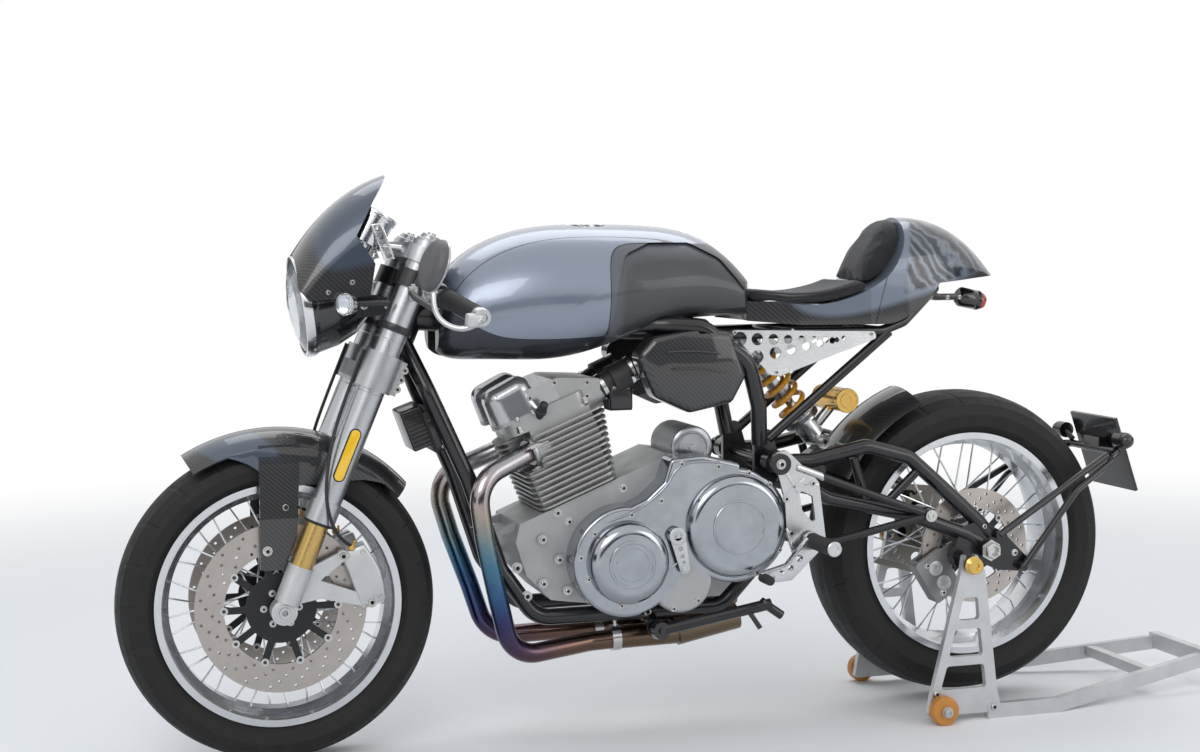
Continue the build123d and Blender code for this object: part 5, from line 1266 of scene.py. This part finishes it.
# Gauges: bezels, dials with ticks and needles
gaugeWay = Vector((0.5, 0, 0.866))
gaugeSpots = [at(-541, y, 980) + gaugeWay * 0.060 for y in (-46, 46)]
gaugePlaces = [(spot, gaugeWay) for spot in gaugeSpots]
tickTurns = [radians(-130 + 260 * number / 24) for number in range(25)]
needle = block("needle", (1.2, 26, 0.8), 0.3, 1)
needle.data.transform(Matrix.Translation(Vector((0, 0.009, 0.0034))))
makePieces("steering", "chrome_trim", {
    "banjos": {"profile": [(-4, 6), (-3, 7), (3, 7), (4, 6), (4, 5), (8, 5), (9, 4), (9, 1)], "sides": 16,
               "places": onLeft(98, (-581, 412)), "mirror": True, "slot": "brushed_alloy", "finish": "goldAnodised"},
    "gaugeBezels": {"profile": [(-6, 38), (-4, 40.4), (0, 41), (2.4, 40), (3.4, 37.6), (3.0, 35.4), (0.6, 34.6),
                                (0.6, 30)],
                    "sides": 48, "places": gaugePlaces, "finish": "gaugeChrome"},
    "gaugeDials": {"profile": [(0.4, 35), (1.0, 35), (1.0, 5), (2.6, 4.6), (3.0, 3.4), (3.0, 1)], "sides": 48,
                   "places": gaugePlaces, "finish": "dialWhite"},
    "gaugeTicks": {"block": ((0.8, 5, 0.6), 0.1, 1), "slot": "black_plastic", "finish": "gripRubber", "places": [
        (aimed(spot, gaugeWay, turn) @ Vector((0, 0.029, 0.0012)), gaugeWay, turn)
        for spot in gaugeSpots for turn in tickTurns]},
    "gaugeNeedles": {"form": needle, "slot": "red_lens", "finish": "tailRed",
                     "places": [(spot, gaugeWay, radians(128)) for spot in gaugeSpots]}})

# Bars: ribbed grips, weights, levers, master cylinders, the drilled stays and the clamps of the mirrors
barRoot, barEnd = Vector((-441, 134, 898)), Vector((-387, 384, 846))
barWay = (barEnd - barRoot).normalized()


def onBar(share, off=(0, 0, 0), way=None):
    spot = barRoot + (barEnd - barRoot) * share + Vector(off)
    return [(at(spot.x, side * spot.y, spot.z), way or Vector((barWay.x, side * barWay.y, barWay.z)))
            for side in (-1, 1)]


gripRibs = [(2 + number * 5.2 + step, radius) for number in range(24)
            for step, radius in ((0, 15.6), (0.6, 17.1), (4.2, 17.1), (4.8, 15.6))]
makePieces("steering", "silver_cast", {
    "ribbedGrips": {"profile": [(-3, 20), (-1, 21), (0, 20)] + gripRibs + [(129, 16)], "sides": 28,
                    "places": onBar(0.42), "slot": "hose_rubber", "finish": "gripRubber", "angle": 30},
    "barWeights": {"profile": [(0, 11), (1, 16), (4, 17), (18, 17), (20, 15.6), (20, 9), (17, 8), (17, 2)],
                   "places": onBar(0.915), "slot": "brushed_alloy", "finish": "mirrorSilver"},
    "masterCylinders": {"profile": [(-26, 9), (-24, 12), (-8, 12.6), (-6, 15), (14, 15), (16, 12.6), (30, 12), (34, 9),
                                    (46, 8), (47, 4)],
                        "sides": 28, "places": onBar(0.24, (-20, 0, 4)), "finish": "perchSilver"},
    "perchClamps": {"profile": [(-11, 13), (-11, 19), (-9, 20.4), (9, 20.4), (11, 19), (11, 13)], "places": onBar(0.22),
                    "finish": "perchSilver"},
    "fluidPots": {"profile": [(-6, 14.6), (-4, 16.2), (32, 16.2), (34, 17.6), (41, 17.6), (43, 16.4), (43, 4)],
                  "places": onBar(0.22, (-34, -4, 2), Vector((20, 0, 38)).normalized()), "slot": "black_plastic",
                  "finish": "throttleGlossBlack"},
    "leverPins": {"profile": [(-14, 8), (-12, 10), (12, 10), (14, 8), (14, 5), (17, 5), (18, 3)], "sides": 20,
                  "places": onBar(0.24, (-46, 4, 0), up), "finish": "perchSilver"},
    "switchPods": {"block": ((34, 26, 36), 7, 4), "places": onBar(0.37), "slot": "black_plastic",
                   "finish": "throttleBlack"},
    "drilledStays": {"plate": ([(-506, 944), (-486, 948), (-510, 1016), (-530, 1012)], -88, -84, 0.8),
                     "holes": [(-497 - 21 * n / 3, 954 + 52 * n / 3, 4.6) for n in range(4)], "middle": -86,
                     "mirror": True, "slot": "brushed_alloy", "finish": "platePolish"}})

# Mirrors: rimmed backs and glass
mirrorPlaces = [(at(-461, side * 334, 938), Vector((0.93, side * -0.18, -0.3)).normalized()) for side in (-1, 1)]
makePieces("steering", "brushed_alloy", {
    "mirrorRims": {"profile": [(1.6, 45), (1.4, 47), (2, 48.6), (4.6, 48.8), (6, 47.8), (6, 46), (4.4, 45)],
                   "sides": 56, "places": mirrorPlaces, "finish": "mirrorSilver"},
    "mirrorGlasses": {"profile": [(3, 45.2), (4.4, 45.2), (4.7, 44.6), (4.7, 5)], "sides": 56, "places": mirrorPlaces,
                      "finish": "mirrorGlass"},
    "mirrorBacks": {"profile": [(3, 46), (1.6, 47.4), (-5, 47), (-9, 45.4), (-13, 40), (-15.6, 34.6), (-16.4, 30),
                                (-16.8, 8)],
                    "sides": 48, "places": mirrorPlaces, "finish": "mirrorGrey"},
    "mirrorArms": {"tube": ([(-390, -384, 845), (-404, -380, 830), (-436, -369, 828), (-462, -356, 846),
                             (-470, -347, 880), (-463, -338, 926)], 5),
                   "mirror": True, "finish": "mirrorSilver", "angle": 60}}, replaces="mirrors")
makePieces("steering", "brushed_alloy", {
    "armClamps": {"block": ((30, 24, 20), 5), "places": onBar(0.975, (-14, 0, -4)), "finish": "castSilver"}})
print("front end is fitted")

# Rear end: shock, axle, stand spools and swingarm

shockRoot, shockEnd = at(238, 0, 780), at(401, 0, 562)
shockWay = (shockEnd - shockRoot).normalized()
collarThread = [(-6 + 0.9 * n + step, radius) for n in range(11) for step, radius in ((0.0, 39.4), (0.45, 38.2))]
makePieces("bike", "brushed_alloy", {
    "reservoirCap": {"profile": [(-1, 24), (2, 25), (9, 25), (10, 24), (10, 20.5), (8.6, 20), (8.6, 15), (10, 14.4),
                                 (10, 9), (8.6, 8.6), (8.6, 3)],
                     "sides": 40, "places": onLeft(60, (438, 648)), "slot": "spring_orange", "finish": "goldAnodised",
                     "angle": 25},
    "reservoirEnd": {"profile": [(-1, 24), (3, 25), (8, 25), (9, 23.6), (9, 8), (6, 7.4), (6, 2)], "sides": 40,
                     "places": [(at(438, 50, 648), right)], "slot": "spring_orange", "finish": "goldAnodised",
                     "angle": 25},
    "springCollars": {"profile": [(-6, 30)] + collarThread + [(5, 30)], "sides": 48, "finish": "shockAlloy",
                      "places": [(shockRoot.lerp(shockEnd, share), shockWay) for share in (0.2, 0.772)]},
    "shockBolts": {"screw": (8, 9), "places": pair(401, 34, 562) + pair(238, 18, 780)},
    "standSpools": {"profile": [(0, 17), (2, 18.5), (4, 18.5), (6, 15), (9, 12.6), (12, 12.6), (14, 15.4), (15.4, 16),
                                (16.4, 15), (16.4, 7), (13, 6.4), (13, 2)],
                    "sides": 36, "places": pair(655, 196, 319), "slot": "fork_gold", "finish": "goldAnodised",
                    "angle": 25},
    "rearAxleNuts": {"profile": [(0, 21), (2, 22), (4, 22), (4, 17.6), (15, 17.6), (17, 15.6), (17, 12), (13, 11),
                                 (8, 10), (8, 3)],
                     "sides": 6, "places": pair(710, 166, 341.8)},
    "chainAdjusters": {"profile": [(0, 5), (30, 5), (30, 8.6), (36, 8.6), (37, 7), (37, 3)], "sides": 6,
                       "places": [(at(772, y, 306), (0.86, 0, -0.5)) for y in (-134, 134)]},
    "swingarmScrews": {"screw": (5, 5), "places": onLeft(145, (668, 318), (706, 388), (776, 330)), "mirror": True,
                       "slot": "black_metal"}})

# Rear-sets: milled ribs, knurled pegs and toe pads
ribHalf = 2.2
ribLines = [((250, 540), (288, 480)), ((256, 476), (300, 508)), ((262, 412), (278, 372)), ((274, 364), (336, 384)),
            ((300, 496), (332, 494))]


def ribOutline(start, end):
    start, end = Vector(start), Vector(end)
    way = end - start
    across = Vector((-way.y, way.x)).normalized() * ribHalf
    return [start - across, end - across, end + across, start + across]


def knurls(count, start, pitch, steps):
    return [(start + number * pitch + step, radius) for number in range(count) for step, radius in steps]


makePieces("bike", "brushed_alloy", {
    f"restRibs{number}": {"plate": (ribOutline(*line), -174, -171, 0.5), "mirror": True, "finish": "shockAlloy"}
    for number, line in enumerate(ribLines)})
makePieces("bike", "brushed_alloy", {
    "restScrews": {"screw": (5, 5), "mirror": True, "places": onLeft(
        172, (254, 553), (318, 498), (262, 470), (272, 402), (290, 362), (338, 378))},
    "knurledPegs": {"profile": [(-4, 15), (-3, 16), (0, 16)]
                    + knurls(16, 3, 5, ((0, 14), (1.2, 15.4), (3.2, 15.4), (4.4, 14)))
                    + [(86, 15.6), (94, 16), (97, 14.6), (97, 10), (94, 9), (94, 3)],
                    "sides": 24, "places": pair(311, 198, 387), "slot": "hose_rubber", "finish": "gripRubber",
                    "angle": 30},
    "pegEnds": {"profile": [(0, 13), (2, 14.6), (5, 14.6), (6.4, 13), (6.4, 7.6), (4, 7), (4, 2)],
                "places": pair(311, 292, 387), "finish": "shockAlloy"},
    "braceWashers": {"profile": [(-1, 12), (1, 12.6), (2.4, 12), (2.4, 8), (6, 7.6), (6, 4), (3, 3.6), (3, 1)],
                     "sides": 28, "places": pair(572, 178, 421)},
    "toePads": {"profile": [(-2, 8), (0, 9.4)] + knurls(9, 2, 4, ((0, 8.4), (1, 9.4), (2.6, 9.4), (3.4, 8.4)))
                + [(41, 9), (42, 5)],
                "sides": 24, "places": pair(204, 195, 322), "slot": "hose_rubber", "finish": "gripRubber", "angle": 30},
    "pivotCaps": {"profile": [(0, 20), (2, 21), (6, 21), (8, 19), (8, 11), (5, 10), (5, 3)], "sides": 36,
                  "places": pair(250, 172.3, 539), "slot": "black_metal", "finish": "frameBlack"},
    "pivotScrews": {"screw": (7, 6), "places": pair(250, 178, 539)}})

# Sprocket and disc screws, rear caliper, plate holder and stand
rearCaliper = {"x": 620, "z": 285.8, "face": 116, "lean": atan2(-56, -90)}


def onRearCaliper(out, along):
    lean = rearCaliper["lean"]
    return at(rearCaliper["x"] + out * cos(lean) - along * sin(lean), -rearCaliper["face"],
              rearCaliper["z"] + out * sin(lean) + along * cos(lean)), left


makePieces("bike", "black_metal", {
    "sprocketScrews": {"screw": (5.4, 5), "places": ringOf(6, 38, 710, 111.5, 341.8, right, 0.5), "body": "rear_wheel",
                       "slot": "chain_steel"},
    "rearDiscScrews": {"screw": (4.6, 4), "places": ringOf(6, 34, 710, -99.5, 341.8, left), "body": "rear_wheel",
                       "slot": "disc_steel"},
    "frontDiscScrews": {"screw": (4.6, 4), "places": ringOf(6, 33, -710, -72.5, 300, left), "mirror": True,
                        "body": "front_wheel", "slot": "disc_steel"},
    "rearCaliperScrews": {"screw": (5, 5), "places": [onRearCaliper(10, along) for along in (-34, 34)]},
    "rearPistonCaps": {"profile": [(-4, 15), (0, 16), (3, 15), (4, 13), (4, 6), (2.4, 5), (2.4, 2)], "sides": 28,
                       "places": [onRearCaliper(-2, along) for along in (-18, 18)], "finish": "castSilver"},
    "rearLampLenses": {"profile": [(0, 16), (3, 16), (9, 13.6), (14, 8), (15.4, 3)], "sides": 28,
                       "places": pair(1040, 134, 548), "slot": "black_plastic", "finish": "throttleGlossBlack"},
    "boardScrews": {"screw": (3.4, 3), "places": [(at(1058, y, 560), (0.95, 0, 0.3)) for y in (-60, 60)]},
    "rollerNuts": {"profile": [(0, 9), (2, 10), (7, 10), (8.4, 8.8), (8.4, 4), (6, 3.6), (6, 1)], "sides": 6,
                   "places": pair(590, 218, 29), "slot": "stand_silver"},
    "railCaps": {"block": ((18, 5, 29), 1.6, 2), "places": [(at(698, y, 15.5), up, pi / 2) for y in (-179, 179)],
                 "slot": "stand_silver", "finish": "standSilver"},
    "standScrews": {"screw": (6, 6), "places": onLeft(186, (708, 24), (580, 60)), "mirror": True,
                    "slot": "stand_silver"}})

# Electrical boxes on the frame's front tubes
boxLean = Vector((-0.34, 0, 0.94))
makePieces("bike", "black_plastic", {
    "rectifierBox": {"block": ((92, 46, 82), 5), "places": [(at(-440, 0, 624), boxLean)],
                     "finish": "throttleGlossBlack"},
    "relayBox": {"block": ((98, 38, 86), 6), "places": [(at(-404, 0, 620), boxLean)], "finish": "boxBlack"},
    "rectifierRibs": {"block": ((5, 38, 3), 1, 2), "mirror": True, "finish": "boxBlack", "places": [
        (at(-440 - 0.34 * along, -46.4, 624 + 0.94 * along), boxLean) for along in range(-32, 33, 8)]},
    "relayLids": {"block": ((4, 27, 58), 2, 2), "places": [(at(-402, -48.4, 616), boxLean)], "mirror": True,
                  "finish": "throttleGlossBlack"}},
           replaces="regulator_box")
makePieces("bike", "black_plastic", {
    "boxScrews": {"screw": (3, 2), "places": onLeft(49.4, (-415, 655), (-393, 662), (-392, 588)), "mirror": True},
    # lever arms with lightening holes out to the toe pads
    "leverArms": {"plate": ([(296, 396), (318, 366), (262, 314), (208, 311), (196, 318), (200, 332), (252, 346)],
                            -203, -187, 1.6),
                  "holes": [(278, 357, 7), (259, 339, 6), (240, 330, 5), (223, 323, 3.8)], "middle": -195,
                  "mirror": True, "slot": "brushed_alloy", "finish": "shockAlloy"}})


# Airbox covers with crowned faces and two pressed creases, and the side skirts of the front guard

def airboxCrown():
    outline = [(-14, 757), (10, 781), (60, 793), (112, 796), (160, 787), (184, 712), (160, 668), (80, 653), (16, 682)]
    crown = cutPlate("airboxCrown", outline, -138.4, -136)
    with editing("DESELECT"):
        form = bmesh.from_edit_mesh(crown.data)
        for face in form.faces:
            face.select = face.normal.y < -0.9
        bmesh.update_edit_mesh(crown.data)
        for inset, rise in ((0.012, 2.6), (0.016, 1.7), (0.018, 0.8)):
            bpy.ops.mesh.inset(thickness=inset, depth=0)
            bpy.ops.transform.translate(value=(0, -rise / 1000, 0))
    return work(crown, "BEVEL", width=0.01, segments=4, limit_method="ANGLE", angle_limit=radians(4))


makePieces("bike", "carbon", {
    "airboxCrowns": {"form": airboxCrown()},
    "airboxCreases0": {"tube": ([(30, -142.4, 762), (80, -143.4, 766), (140, -143, 756)], 1.6, 3)},
    "airboxCreases1": {"tube": ([(40, -142.8, 728), (90, -143.6, 732), (150, -142.8, 720)], 1.6, 3)}},
           mirror=True, finish="glossCarbon", angle=60)
print("rear end and stand are fitted")

guardSkirt = {"radius": 302, "inner": 66.8, "outer": 69.4, "start": 108.5, "sweep": -61.0, "steps": 16,
              "foot": [(-530, 529), (-550, 533), (-580, 532.5), (-620, 530), (-670, 528), (-712, 529), (-726, 534),
                       (-736, 546), (-748, 560), (-766, 572), (-786, 580)]}
skirtTurns = [radians(guardSkirt["start"] + guardSkirt["sweep"] * step / guardSkirt["steps"])
              for step in range(guardSkirt["steps"] + 1)]
skirtEdge = [(axleX + guardSkirt["radius"] * cos(turn), axleZ + guardSkirt["radius"] * sin(turn))
             for turn in skirtTurns]
makePieces("steering", "carbon", {
    "guardSkirts": {"plate": (skirtEdge + guardSkirt["foot"], -guardSkirt["outer"], -guardSkirt["inner"], 0.9),
                    "mirror": True, "finish": "skirtPaint", "angle": 40}})
